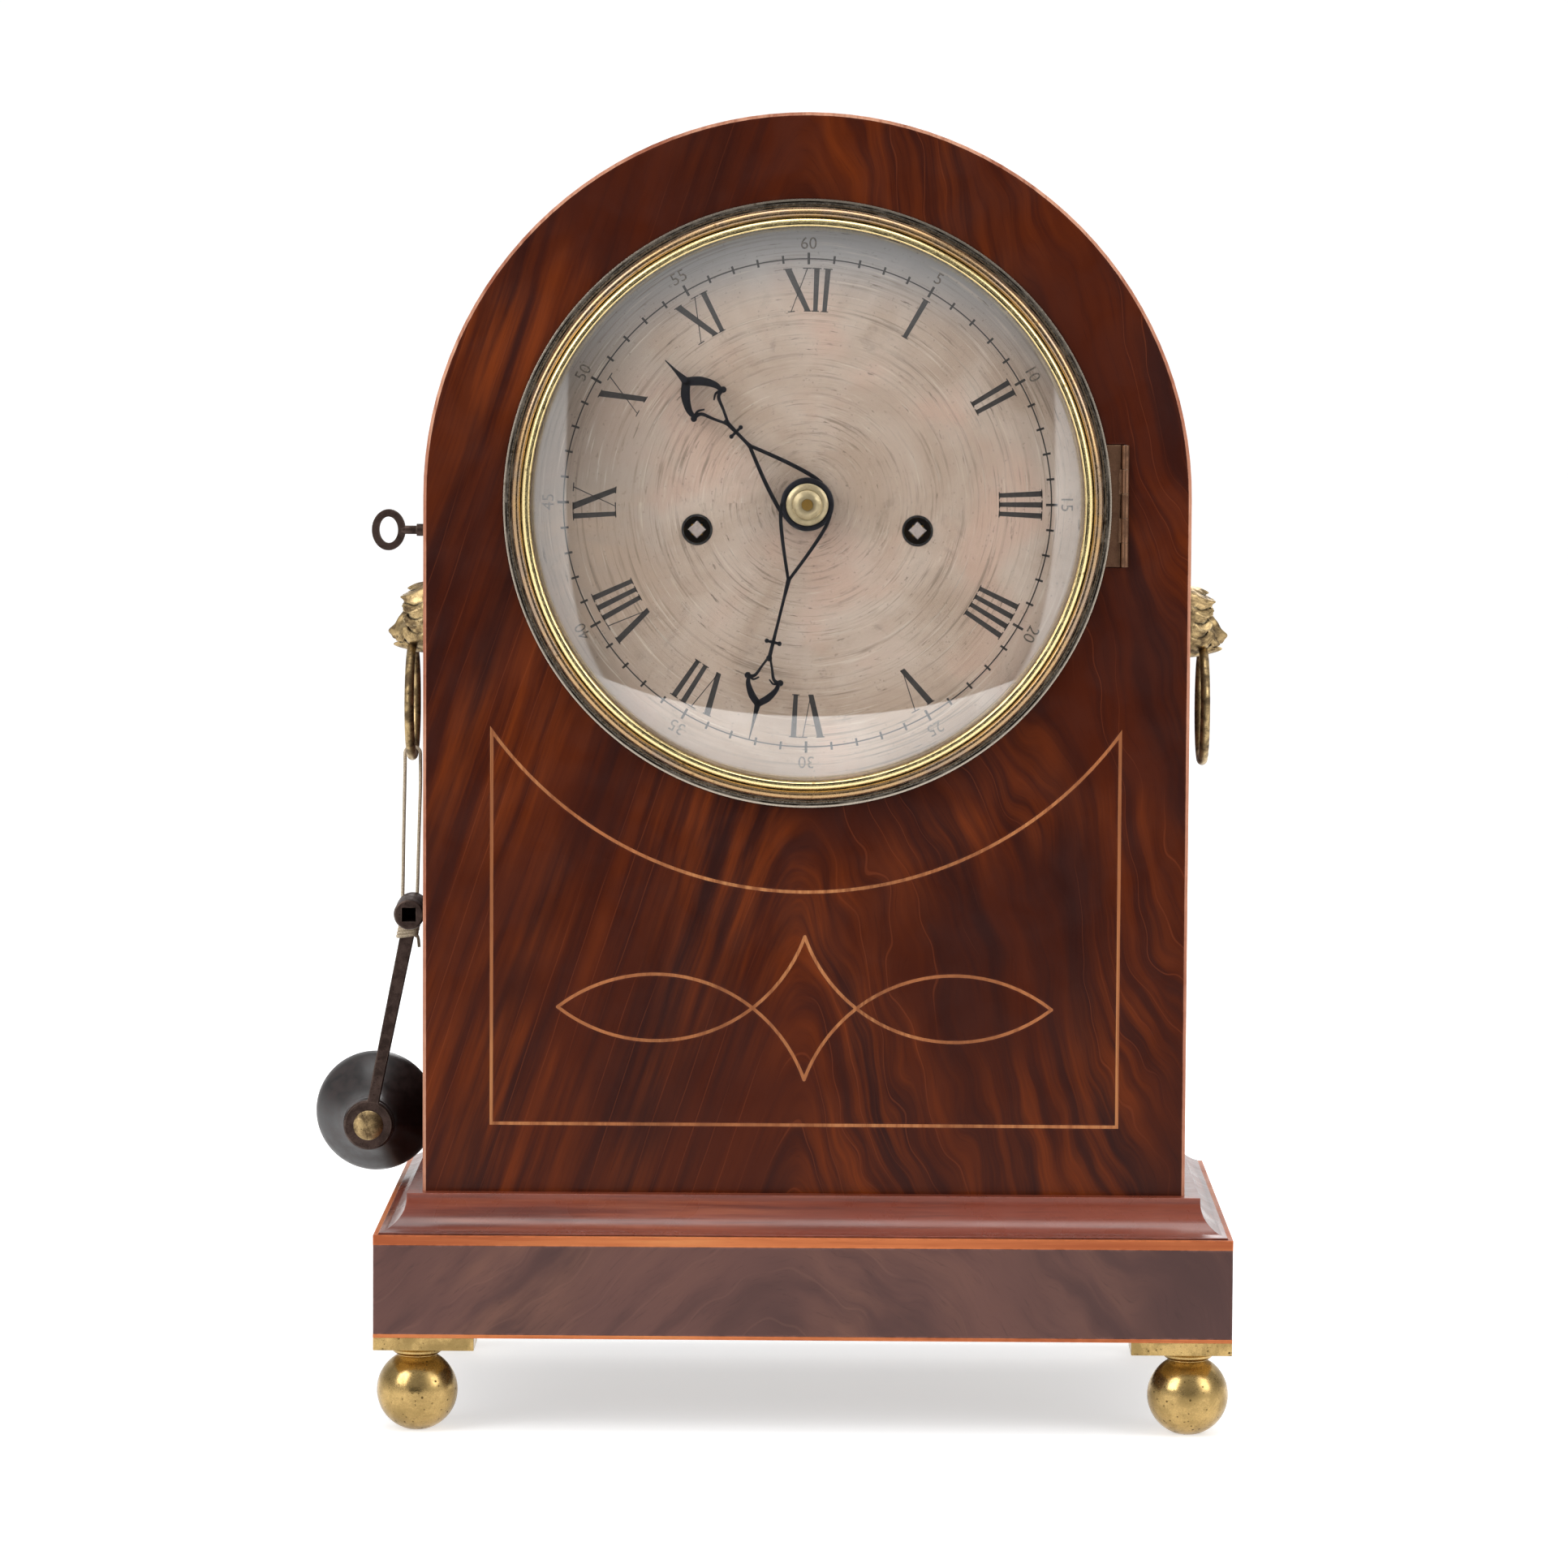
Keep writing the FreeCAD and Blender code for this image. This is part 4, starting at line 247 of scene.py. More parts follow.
def strip_section(width, thick):
    """A flat bar with softened front edges: width for each point of the path."""
    width = np.asarray(width, float)[..., None]
    low, high = 0 * width, 0 * width + thick
    soft = np.minimum(0.3, width * 0.3)
    across = np.concatenate([-width / 2, -width / 2, -width / 2 + soft, width / 2 - soft,
                             width / 2, width / 2], -1)
    up = np.concatenate([low, high - 0.35, high, high, high - 0.35, low], -1)
    return np.stack([across, up], -1)


# ---------------------------------------------------------------- finishes
def node(tree, kind, feeds=(), **settings):
    """A shader node with its settings, its sockets fed from a dict of values or other sockets."""
    made = tree.nodes.new("ShaderNode" + kind)
    for key, value in settings.items():
        setattr(made, key, value)
    for key, value in dict(feeds).items():
        if isinstance(value, bpy.types.NodeSocket):
            tree.links.new(value, made.inputs[key])
        else:
            made.inputs[key].default_value = value
    return made


def sums(tree, operation, *values):
    """One Math node's result."""
    return node(tree, "Math", dict(enumerate(values)), operation=operation).outputs[0]


def times(tree, *values):
    """The product of two values; a third is added to it."""
    return sums(tree, "MULTIPLY" if len(values) == 2 else "MULTIPLY_ADD", *values)


def spread(tree, value, low, high, first=0.0, last=1.0):
    """A value mapped from one range to another, smoothly and clamped."""
    feeds = {0: value, 1: low, 2: high, 3: first, 4: last}
    return node(tree, "MapRange", feeds, interpolation_type="SMOOTHSTEP").outputs[0]


def blend(tree, mask, first, second, mode="MIX"):
    """Two colours mixed by a mask; each is a socket, a web colour, or red, green and blue."""
    first, second = (colour if isinstance(colour, bpy.types.NodeSocket)
                     else (*linear(colour), 1) for colour in (first, second))
    feeds = {0: mask, 6: first, 7: second}
    return node(tree, "Mix", feeds, data_type="RGBA", blend_type=mode).outputs[2]


def layered(tree, colour, *layers):
    """A colour with others laid over it in order, each a pair of its mask and itself."""
    for mask, over in layers:
        colour = blend(tree, mask, colour, over)
    return colour


def speckle(tree, vector, scale, detail=3.0, roughness=0.55, distortion=0.0):
    """Noise from 0 to 1 at a scale per millimetre."""
    feeds = {"Vector": vector, "Scale": scale, "Detail": detail, "Roughness": roughness,
             "Distortion": distortion}
    return node(tree, "TexNoise", feeds).outputs["Fac"]


def stretch(tree, vector, scale, turn=(0, 0, 0)):
    """A position scaled, and turned in degrees, by a Mapping node."""
    feeds = {"Vector": vector, "Rotation": tuple(math.radians(a) for a in turn), "Scale": scale}
    return node(tree, "Mapping", feeds).outputs[0]


def new_group(name, inputs, outputs):
    """An empty node group with float or vector inputs and float outputs; returns tree, in, out."""
    tree = bpy.data.node_groups.new(name, "ShaderNodeTree")
    for label, default in inputs:
        kind = "NodeSocketVector" if default is None else "NodeSocketFloat"
        socket = tree.interface.new_socket(name=label, in_out="INPUT", socket_type=kind)
        if default is not None:
            socket.default_value = default
    for label in outputs:
        tree.interface.new_socket(name=label, in_out="OUTPUT", socket_type="NodeSocketFloat")
    start, end = tree.nodes.new("NodeGroupInput"), tree.nodes.new("NodeGroupOutput")
    return tree, start.outputs, end.inputs


def flame_group():
    """Crotch figure: contours of height plus a cone give arches in the middle, slopes beside."""
    tree, given, out = new_group("Flame Figure", [("Position", None), ("Slope", 3.0),
                                                  ("Crown", 24.0)],
                                 ["Band", "Vein", "Pore", "Thread"])
    wander = speckle(tree, stretch(tree, given["Position"], (0.016, 0.016, 0.009)), 1.0, 3.0)
    place = node(tree, "SeparateXYZ", {0: given["Position"]}).outputs
    side = times(tree, wander, 26.0, sums(tree, "SUBTRACT", place[0], 13.0))
    across = times(tree, side, given["Slope"])
    square = times(tree, across, across)
    crown = times(tree, given["Crown"], given["Crown"])
    cone = sums(tree, "SQRT", sums(tree, "ADD", square, crown))
    level = sums(tree, "ADD", place[2], cone)
    level = times(tree, wander, 60.0, level)
    line = node(tree, "CombineXYZ", {0: level, 1: side, 2: place[2]}).outputs[0]
    band = speckle(tree, stretch(tree, line, (0.017, 0.010, 0.003)), 1.0, 3.0, 0.55)
    vein = speckle(tree, stretch(tree, line, (0.062, 0.020, 0.008)), 1.0, 4.0, 0.58)
    pore = speckle(tree, stretch(tree, line, (0.95, 0.16, 0.05)), 1.0, 3.0, 0.65)
    wave = sums(tree, "SINE", times(tree, wander, 9.0, times(tree, level, 0.30)))
    here = spread(tree, speckle(tree, stretch(tree, line, (0.012, 0.02, 0.006)), 1.0), 0.46, 0.6)
    thread = times(tree, spread(tree, wave, 0.982, 0.999), here)
    for label, value in (("Band", band), ("Vein", vein), ("Pore", pore), ("Thread", thread)):
        tree.links.new(value, out[label])
    return tree


def grain_group():
    """Straight grain along Z: noise drawn out along it, at the size of bands, veins and pores."""
    tree, given, out = new_group("Straight Grain", [("Position", None)], ["Band", "Vein", "Pore"])
    at = given["Position"]
    tree.links.new(speckle(tree, stretch(tree, at, (0.06, 0.06, 0.004)), 1.0, 3.0, 0.5, 0.4),
                   out["Band"])
    tree.links.new(speckle(tree, stretch(tree, at, (0.55, 0.55, 0.016)), 1.0, 3.0, 0.6),
                   out["Vein"])
    tree.links.new(speckle(tree, stretch(tree, at, (3.2, 3.2, 0.11)), 1.0, 2.0, 0.6), out["Pore"])
    return tree


def wear_group():
    """Where a rounded normal leaves the real one an edge is near; noise breaks it up."""
    tree, given, out = new_group("Edge Wear", [("Position", None), ("Reach", 0.0012),
                                               ("Amount", 1.0)], ["Wear"])
    rounded = node(tree, "Bevel", {"Radius": given["Reach"]}, samples=4).outputs[0]
    true = node(tree, "NewGeometry").outputs["True Normal"]
    feeds = {0: rounded, 1: true}
    same = node(tree, "VectorMath", feeds, operation="DOT_PRODUCT").outputs["Value"]
    edge = spread(tree, same, 0.995, 0.80)
    rub = spread(tree, speckle(tree, given["Position"], 0.28, 4.0, 0.6), 0.38, 0.62)
    tree.links.new(times(tree, times(tree, edge, rub), given["Amount"]), out["Wear"])
    return tree


def patina_group():
    """Tarnish: broad clouds, and small spots where a cell pattern falls near its centres."""
    tree, given, out = new_group("Patina", [("Position", None), ("Size", 1.0)],
                                 ["Cloud", "Spot", "Fine"])
    at = node(tree, "VectorMath", {0: given["Position"], "Scale": given["Size"]},
              operation="SCALE").outputs[0]
    cloud = speckle(tree, at, 0.11, 5.0, 0.62, 0.3)
    cells = node(tree, "TexVoronoi", {"Vector": at, "Scale": 0.55}).outputs["Distance"]
    chance = spread(tree, speckle(tree, at, 0.35, 2.0), 0.50, 0.66)
    spot = times(tree, spread(tree, cells, 0.34, 0.14), chance)
    tree.links.new(spread(tree, cloud, 0.36, 0.66), out["Cloud"])
    tree.links.new(spot, out["Spot"])
    tree.links.new(speckle(tree, at, 1.7, 4.0, 0.65), out["Fine"])
    return tree


GROUPS = {}


def effect(tree, maker, at, **values):
    """A node group, built once, placed in a material with its own values."""
    if maker not in GROUPS:
        GROUPS[maker] = maker()
    made = node(tree, "Group", node_tree=GROUPS[maker])
    tree.links.new(at, made.inputs["Position"])
    for key, value in values.items():
        made.inputs[key].default_value = value
    return made.outputs


def material(name, metallic=0.0, coat=0.0, coat_roughness=0.08, specular=0.5):
    """A new material: its tree, its shader and the object's coordinates in millimetres."""
    made = bpy.data.materials.new(name)
    made.use_nodes = True
    tree = made.node_tree
    shader = tree.nodes["Principled BSDF"]
    for key, value in (("Metallic", metallic), ("Coat Weight", coat),
                       ("Coat Roughness", coat_roughness), ("Specular IOR Level", specular)):
        shader.inputs[key].default_value = value
    here = node(tree, "TexCoord").outputs["Object"]
    return made, tree, shader, stretch(tree, here, (1000.0, 1000.0, 1000.0))


def surface(tree, shader, colour, roughness):
    """Feeds the shader's base colour and roughness."""
    tree.links.new(colour, shader.inputs["Base Color"])
    tree.links.new(roughness, shader.inputs["Roughness"])


def relief(tree, shader, height, distance, strength=0.6):
    """A bump of a height, its distance in millimetres."""
    feeds = {"Height": height, "Distance": distance * MM, "Strength": strength}
    tree.links.new(node(tree, "Bump", feeds).outputs[0], shader.inputs["Normal"])


def mitre(tree, at):
    """Swaps across and back beyond a mitre line at 45 degrees, so that grain follows each side."""
    place = node(tree, "SeparateXYZ", {0: at}).outputs
    beyond = sums(tree, "SUBTRACT", sums(tree, "ABSOLUTE", place[0]), CASE_HALF)
    ahead = sums(tree, "SUBTRACT", CASE_LOW[1], place[1])
    beside = sums(tree, "GREATER_THAN", beyond, ahead)
    swapped = node(tree, "CombineXYZ", {0: place[1], 1: place[0], 2: place[2]}).outputs[0]
    feeds = {0: beside, 4: at, 5: swapped}
    return node(tree, "Mix", feeds, data_type="VECTOR").outputs[1]


def over_arch(tree, at):
    """Unrolls the arch: height goes on as arc length above the springing, across as radius."""
    place = node(tree, "SeparateXYZ", {0: at}).outputs
    above = sums(tree, "SUBTRACT", place[2], SPRING_Z)
    risen = sums(tree, "MAXIMUM", above, 0.0)
    turn = sums(tree, "ARCTAN2", risen, sums(tree, "ABSOLUTE", place[0]))
    arc = times(tree, turn, CASE_HALF, sums(tree, "MINIMUM", above, 0.0))
    out = sums(tree, "SQRT", sums(tree, "ADD", times(tree, place[0], place[0]),
                                  times(tree, risen, risen)))
    return node(tree, "CombineXYZ", {0: out, 1: place[1], 2: arc}).outputs[0]


def timber(name, dark, mid, bright, turn=(0, 0, 0), flame=False, slope=3.0, crown=24.0,
           roughness=0.36, coat=0.05, shift=(0, 0, 0), wear=0.4, mitred=False,
           thread=0.22, specular=0.12, arched=False):
    """Polished wood: bands and veins between three colours, dark pores, paler rubbed edges."""
    dark, mid, bright = (linear(colour) for colour in (dark, mid, bright))
    made, tree, shader, at = material(name, 0.0, coat, 0.22, specular)
    run = mitre(tree, at) if mitred else over_arch(tree, at) if arched else at
    feeds = {"Vector": run, "Location": shift, "Rotation": tuple(math.radians(a) for a in turn)}
    turned_at = node(tree, "Mapping", feeds).outputs[0]
    if flame:
        figure = effect(tree, flame_group, turned_at, Slope=slope, Crown=crown)
    else:
        figure = effect(tree, grain_group, turned_at)
    glow = speckle(tree, stretch(tree, turned_at, (0.016, 0.016, 0.011)), 1.0, 2.0, 0.5, 0.5)
    lit = times(tree, spread(tree, figure["Vein"], 0.34, 0.78), spread(tree, glow, 0.36, 0.74))
    colour = layered(
        tree, blend(tree, spread(tree, figure["Band"], 0.30, 0.62), dark, mid), (lit, bright),
        (spread(tree, figure["Pore"], 0.54, 0.80, 0.0, 0.4), [c * 0.5 for c in dark]),
        (spread(tree, figure["Vein"], 0.50, 0.28, 0.0, 0.55), dark))
    if flame:
        pale_thread = [min(1.0, c * 1.35 + 0.012) for c in bright]
        colour = blend(tree, times(tree, figure["Thread"], thread), colour, pale_thread)
    rubbed = effect(tree, wear_group, at, Amount=wear)["Wear"]
    colour = blend(tree, rubbed, colour, [min(1.0, c * 1.9 + 0.02) for c in mid])
    smear = speckle(tree, at, 0.05, 5.0, 0.6, 0.5)
    surface(tree, shader, colour,
            spread(tree, smear, 0.3, 0.7, roughness - 0.06, roughness + 0.12))
    relief(tree, shader, figure["Pore"], 0.035, 0.5)
    return made


def metal(name, base, dull, cloud=0.3, spots=0.5, roughness=0.22, size=1.0, spot_colour=None,
          brushed=None, metallic=1.0, wear=0.0, bright=None, hollows=False):
    """Metal between a bright and a dull colour by clouds, with spots, scratches and wear."""
    base, dull = linear(base), linear(dull)
    made, tree, shader, at = material(name, metallic)
    tarnish = effect(tree, patina_group, at, Size=size)
    amount = times(tree, tarnish["Cloud"], cloud)
    fine = spread(tree, tarnish["Fine"], 0.3, 0.75, 0.0, cloud * 0.6)
    spot = times(tree, tarnish["Spot"], spots)
    dark = spot_colour or [c * 0.25 for c in dull]
    colour = layered(tree, base, (amount, dull), (fine, dull), (spot, dark))
    if hollows:
        depth = node(tree, "NewGeometry").outputs["Pointiness"]
        colour = blend(tree, spread(tree, depth, 0.505, 0.465), colour, dark)
    if wear:
        rubbed = effect(tree, wear_group, at, Amount=wear, Reach=0.0007)["Wear"]
        colour = blend(tree, rubbed, colour, bright or base)
    rough = times(tree, amount, 0.35, roughness)
    rough = times(tree, spot, 0.3, rough)
    scratch = speckle(tree, stretch(tree, at, brushed or (1.2, 1.2, 9.0)), 1.0, 3.0, 0.7)
    rough = times(tree, spread(tree, scratch, 0.35, 0.7), 0.12, rough)
    surface(tree, shader, colour, rough)
    relief(tree, shader, sums(tree, "ADD", scratch, tarnish["Fine"]), 0.012, 0.5)
    return made


def dial_place(tree, at):
    """Position from the dial's centre: its parts, its flat vector, radius and angle."""
    centred = node(tree, "Mapping", {"Vector": at, "Location": (0, 0, -DIAL_Z)}).outputs[0]
    place = node(tree, "SeparateXYZ", {0: centred}).outputs
    flat = node(tree, "CombineXYZ", {0: place[0], 1: place[2]}).outputs[0]
    radius = node(tree, "VectorMath", {0: flat}, operation="LENGTH").outputs["Value"]
    return centred, place, flat, radius, sums(tree, "ARCTAN2", place[2], place[0])


def bezel_finish():
    """Brass by radius: bright inner roll, tan outer roll, grey flange, soot in the grooves."""
    made, tree, shader, at = material("Bezel brass", 1.0)
    radius, angle = dial_place(tree, at)[3:]
    tarnish = effect(tree, patina_group, at, Size=0.7)
    outer = blend(tree, tarnish["Cloud"], "#b4936a", "#998470")
    rolls = layered(tree, "#ecd69c", (spread(tree, radius, 93.0, 93.5), outer),
                    (spread(tree, radius, 96.2, 96.8), "#a59a8c"))
    along = node(tree, "CombineXYZ", {0: times(tree, angle, 40.0), 1: radius}).outputs[0]
    uneven = spread(tree, speckle(tree, along, 0.35, 3.0), 0.25, 0.6, 0.55, 1.0)
    # painted shade: near-black along the grooves between flange and rolls, broken up by noise
    groove_shade = 0.0
    for middle_at, half in ((91.0, 0.3), (93.15, 0.26), (96.65, 0.36), (98.15, 0.4)):
        away = sums(tree, "ABSOLUTE", sums(tree, "SUBTRACT", radius, middle_at))
        groove_shade = sums(tree, "MAXIMUM", spread(tree, away, half, half * 0.45), groove_shade)
    groove_shade = times(tree, groove_shade, uneven)
    colour = layered(tree, rolls, (times(tree, tarnish["Spot"], 0.6), "#5a4426"),
                     (groove_shade, "#15110e"))
    surface(tree, shader, colour,
            times(tree, groove_shade, 0.4, spread(tree, tarnish["Fine"], 0.3, 0.8, 0.2, 0.36)))
    relief(tree, shader, tarnish["Fine"], 0.012, 0.5)
    return made


def silvered_dial():
    """Old silvering: circular scratches round the centre, warm clouds, smudges, pink wear."""
    made, tree, shader, at = material("Silvered dial", 0.55, 0.0, 0.1, 0.4)
    centred, place, flat, radius, angle = dial_place(tree, at)

    def arcs(fineness, sweep, start):
        """Noise drawn out round the centre."""
        polar = node(tree, "CombineXYZ", {0: times(tree, radius, fineness),
                                          1: times(tree, angle, sweep),
                                          2: start}).outputs[0]
        return speckle(tree, polar, 1.0, 4.0, 0.7)

    swirl = arcs(0.85, 1.3, 0.0)
    cloud = speckle(tree, flat, 0.022, 6.0, 0.62, 0.6)
    pink = spread(tree, speckle(tree, flat, 0.024, 3.0, 0.5, 0.2), 0.48, 0.66, 0.0, 0.6)
    # painted shade: the dial darker towards its left side, broken up by the clouds
    left = times(tree, spread(tree, place[0], -28.0, -78.0), spread(tree, cloud, 0.25, 0.6))
    # painted reflection: a cool grey over the top and rim of the dial
    top_reflection = spread(tree, times(tree, place[2], 0.55, radius), 98.0, 132.0, 0.0, 0.8)
    smudge = spread(tree, speckle(tree, flat, 0.06, 6.0, 0.7, 0.8), 0.58, 0.74, 0.0, 0.5)
    lined = times(tree, spread(tree, swirl, 0.51, 0.64, 0.0, 0.7),
                  spread(tree, arcs(0.06, 1.2, 7.0), 0.40, 0.62, 0.25, 1.0))
    shine = spread(tree, arcs(0.8, 1.8, 3.0), 0.56, 0.70, 0.0, 0.5)
    scored = spread(tree, arcs(0.75, 5.0, 11.0), 0.63, 0.69, 0.0, 0.75)
    fleck = effect(tree, patina_group, centred, Size=1.5)["Spot"]
    silver = blend(tree, spread(tree, cloud, 0.34, 0.66), "#c3ac99", "#dccabb")
    colour = layered(tree, silver, (pink, "#dab6a2"), (times(tree, left, 0.75), "#93867b"),
                     (top_reflection, "#b4b7ba"), (smudge, "#978678"), (lined, "#867668"),
                     (shine, "#eee3d4"), (scored, "#6b5d52"),
                     (times(tree, fleck, 0.35), "#5f5248"))
    surface(tree, shader, colour, spread(tree, swirl, 0.3, 0.7, 0.42, 0.56))
    relief(tree, shader, swirl, 0.02, 0.5)
    return made


def clear_glass(name, tint, level, mirror=0.0):
    """Window glass that lets lamp light through to what is behind it."""
    made, tree, shader, at = material(name, 0.0, 0.0, 0.03, level)
    shader.inputs["Transmission Weight"].default_value = 1.0
    shader.inputs["IOR"].default_value = 1.5
    if mirror:
        shader.inputs["Coat Weight"].default_value = 1.0
        shader.inputs["Coat IOR"].default_value = mirror
        shader.inputs["Coat Roughness"].default_value = 0.01
    haze = speckle(tree, at, 0.05, 4.0, 0.6, 0.4)
    surface(tree, shader, blend(tree, haze, tint, (1, 1, 1)),
            spread(tree, haze, 0.3, 0.8, 0.0, 0.02))
    through_it = node(tree, "BsdfTransparent", {"Color": (0.96, 0.97, 0.96, 1)}).outputs[0]
    mixed = node(tree, "MixShader", {0: node(tree, "LightPath").outputs["Is Shadow Ray"],
                                     1: shader.outputs[0], 2: through_it}).outputs[0]
    tree.links.new(mixed, tree.nodes["Material Output"].inputs["Surface"])
    return made


def matt(name, first, second, scale, roughness=0.75, metallic=0.0, depth=0.05, coat=0.0):
    """A dull finish between two colours by noise, with a fine relief."""
    made, tree, shader, at = material(name, metallic, coat, 0.25)
    tone = speckle(tree, at, scale, 5.0, 0.65, 0.2)
    surface(tree, shader, blend(tree, spread(tree, tone, 0.32, 0.68), first, second),
            spread(tree, tone, 0.3, 0.7, roughness - 0.08, roughness + 0.08))
    relief(tree, shader, speckle(tree, at, scale * 4, 4.0, 0.65), depth, 0.6)
    return made


FINISHES = {}


def finishes():
    """Every finish of the clock by name, built once."""
    if FINISHES:
        return FINISHES
    tints = bpy.context.scene.clock_finishes
    dark, mid, bright = tuple(tints.wood_dark), tuple(tints.wood_mid), tuple(tints.wood_bright)
    brass = tuple(tints.brass)
    F = FINISHES
    F["veneer"] = timber("Flame veneer", dark, mid, bright, flame=True, roughness=0.34)
    F["side"] = timber("Case sides", dark, mid, bright, roughness=0.34, coat=0.12,
                       specular=0.3, shift=(40, 9, 0), arched=True)
    F["moulding"] = timber("Cove moulding", "#4d2118", "#753524",
                           "#8a4a32", turn=(0, 90, 0), roughness=0.28, coat=0.5,
                           mitred=True, specular=0.4)
    # the plinth's browns are the mahogany with a painted reflection of the pale floor, which greys
    # them
    F["plinth"] = timber("Plinth veneer with painted floor reflection", "#432a27", "#5c3c36",
                         "#6f4b3e", flame=True, slope=1.1, crown=46.0, roughness=0.46,
                         coat=0.1, thread=0.12, specular=0.3, shift=(0, 0, 30), wear=0.9,
                         mitred=True)
    F["door"] = timber("Back door", dark, mid, bright, roughness=0.42, shift=(-70, 30, 12))
    F["string"] = timber("Plinth string", "#93492a", "#bd6c40",
                         "#d08a55", turn=(0, 90, 0), roughness=0.4, wear=0.3,
                         mitred=True)
    F["arris"] = timber("Arris string", "#8a4a34", "#c08a70", "#d6a68a", roughness=0.4, wear=0.2)
    F["inlay"] = timber("Inlay lines", "#7c4a2e", "#a4663f", "#bb8051", roughness=0.4, wear=0.0)
    F["pine"] = timber("Pine", "#8f6a43", "#b48a5c", "#c9a578",
                       turn=(0, 90, 0), roughness=0.62, coat=0.0)
    F["brass"] = metal("Polished brass", brass, "#6d5a34", 0.5, 0.85, 0.14, 1.1, "#3a2a12")
    F["leaf"] = metal("Bronzed leaf", "#86644e", "#4a352a", 0.6, 0.4, 0.36, 1.5,
                      wear=0.4, bright="#c0a080")
    F["bezel"] = bezel_finish()
    F["gilt"] = metal("Worn gilt", "#c8ad7c", "#4d3d2f", 0.85, 0.6, 0.3, 2.2,
                      "#1d140c", wear=0.7, bright="#efdcb0", hollows=True)
    F["square"] = metal("Worn square", "#cdbfba", "#9a8c86", 0.5, 0.3, 0.4, 3.0, metallic=0.7)
    F["collet"] = metal("Collet brass", "#cdbd98", "#8e8064", 0.4, 0.3, 0.3, 2.0)
    F["plates"] = metal("Movement brass", "#c9a052", "#8a6a34", 0.4, 0.3, 0.3,
                        0.6, brushed=(6.0, 1.5, 1.5))
    F["steel"] = metal("Bright steel", "#a9abad", "#5e5a57", 0.4, 0.4, 0.28, 1.2)
    F["iron"] = metal("Browned iron", "#5a4a44", "#2e2522", 0.6, 0.5, 0.42, 2.0,
                      "#150f0d", wear=0.5, bright="#9a8678")
    F["hands"] = metal("Blued steel", "#23242b", "#16151a", 0.5, 0.3, 0.34, 2.0, metallic=0.75)
    F["bell"] = metal("Bell metal", "#d8c49a", "#8d7c58", 0.5, 0.4, 0.2, 0.7)
    F["dial"] = silvered_dial()
    F["ink"] = matt("Dial wax", "#2b2726", "#3b3634", 0.9, 0.5)
    F["ink_faint"] = matt("Dial wax worn", "#4a443f", "#8a7d70", 1.3, 0.5)
    F["glass"] = clear_glass("Dial glass", (0.99, 0.99, 0.99), 0.6, 1.66)
    F["pane"] = clear_glass("Door glass", (0.93, 0.96, 0.94), 0.22)
    F["ebony"] = matt("Ebonised wood", "#100a09", "#241715", 0.25, 0.4, coat=0.15)
    # painted shade for the winding holes
    F["recess"] = matt("Painted shade of the winding holes", "#0d0909", "#1b1413", 0.7, 0.7)
    F["twine"] = twine_finish()
    return F


def twine_finish():
    """Jute: pale and brown fibres laid in a helix along the strand's own length."""
    made, tree, shader, at = material("Jute twine")
    lay = speckle(tree, stretch(tree, at, (5.5, 5.5, 2.6), (0, 38, 0)), 1.0, 4.0, 0.65)
    colour = blend(tree, spread(tree, lay, 0.32, 0.66), "#8f7a5f", "#dccdb4")
    surface(tree, shader, colour, spread(tree, lay, 0.3, 0.7, 0.85, 0.95))
    relief(tree, shader, lay, 0.25, 0.8)
    return made


# ---------------------------------------------------------------- twine and crank
ARM_FRONT, ARM_BACK = 4.45, 8.05
RING_X, RING_Z, RING_REACH = 134.0, 234.2, 18.8
HANG = np.array([-RING_X, CASE_MID_Y, RING_Z - RING_REACH])
PIPE_Z = 163.0
TIE = np.array([-135.47, CASE_MID_Y, 155.7])
TWINE_END = (-133.02, 9.65, 155.7)


def twine_route():
    """The looped strand as a NURBS spline: up from the tie, over the ring's foot and down."""
    y, top = HANG[1:]
    right = [TWINE_END, (-132.7, 9.1, 163.5), (-131.9, 7.2, 190.0),
             (-131.3, y, top - 9.0), (-131.4, y, top - 2.0), (-131.4, y, top + 2.8)]
    left = [(-136.6, y, top + 2.8), (-136.6, y, top - 2.0), (-136.7, y, top - 9.0),
            (-137.1, 7.2, 190.0), (-137.6, 9.1, 163.5), (-137.92, 9.65, 155.7)]
    curve = bpy.data.curves.new("twine_line", "CURVE")
    curve.dimensions = "3D"
    spline = curve.splines.new("NURBS")
    points = np.array(right + left) * MM
    spline.points.add(len(points) - 1)
    spline.points.foreach_set("co", np.c_[points, np.ones(len(points))].ravel())
    spline.order_u = 3
    spline.use_endpoint_u = True
    spline.resolution_u = 12
    return curve


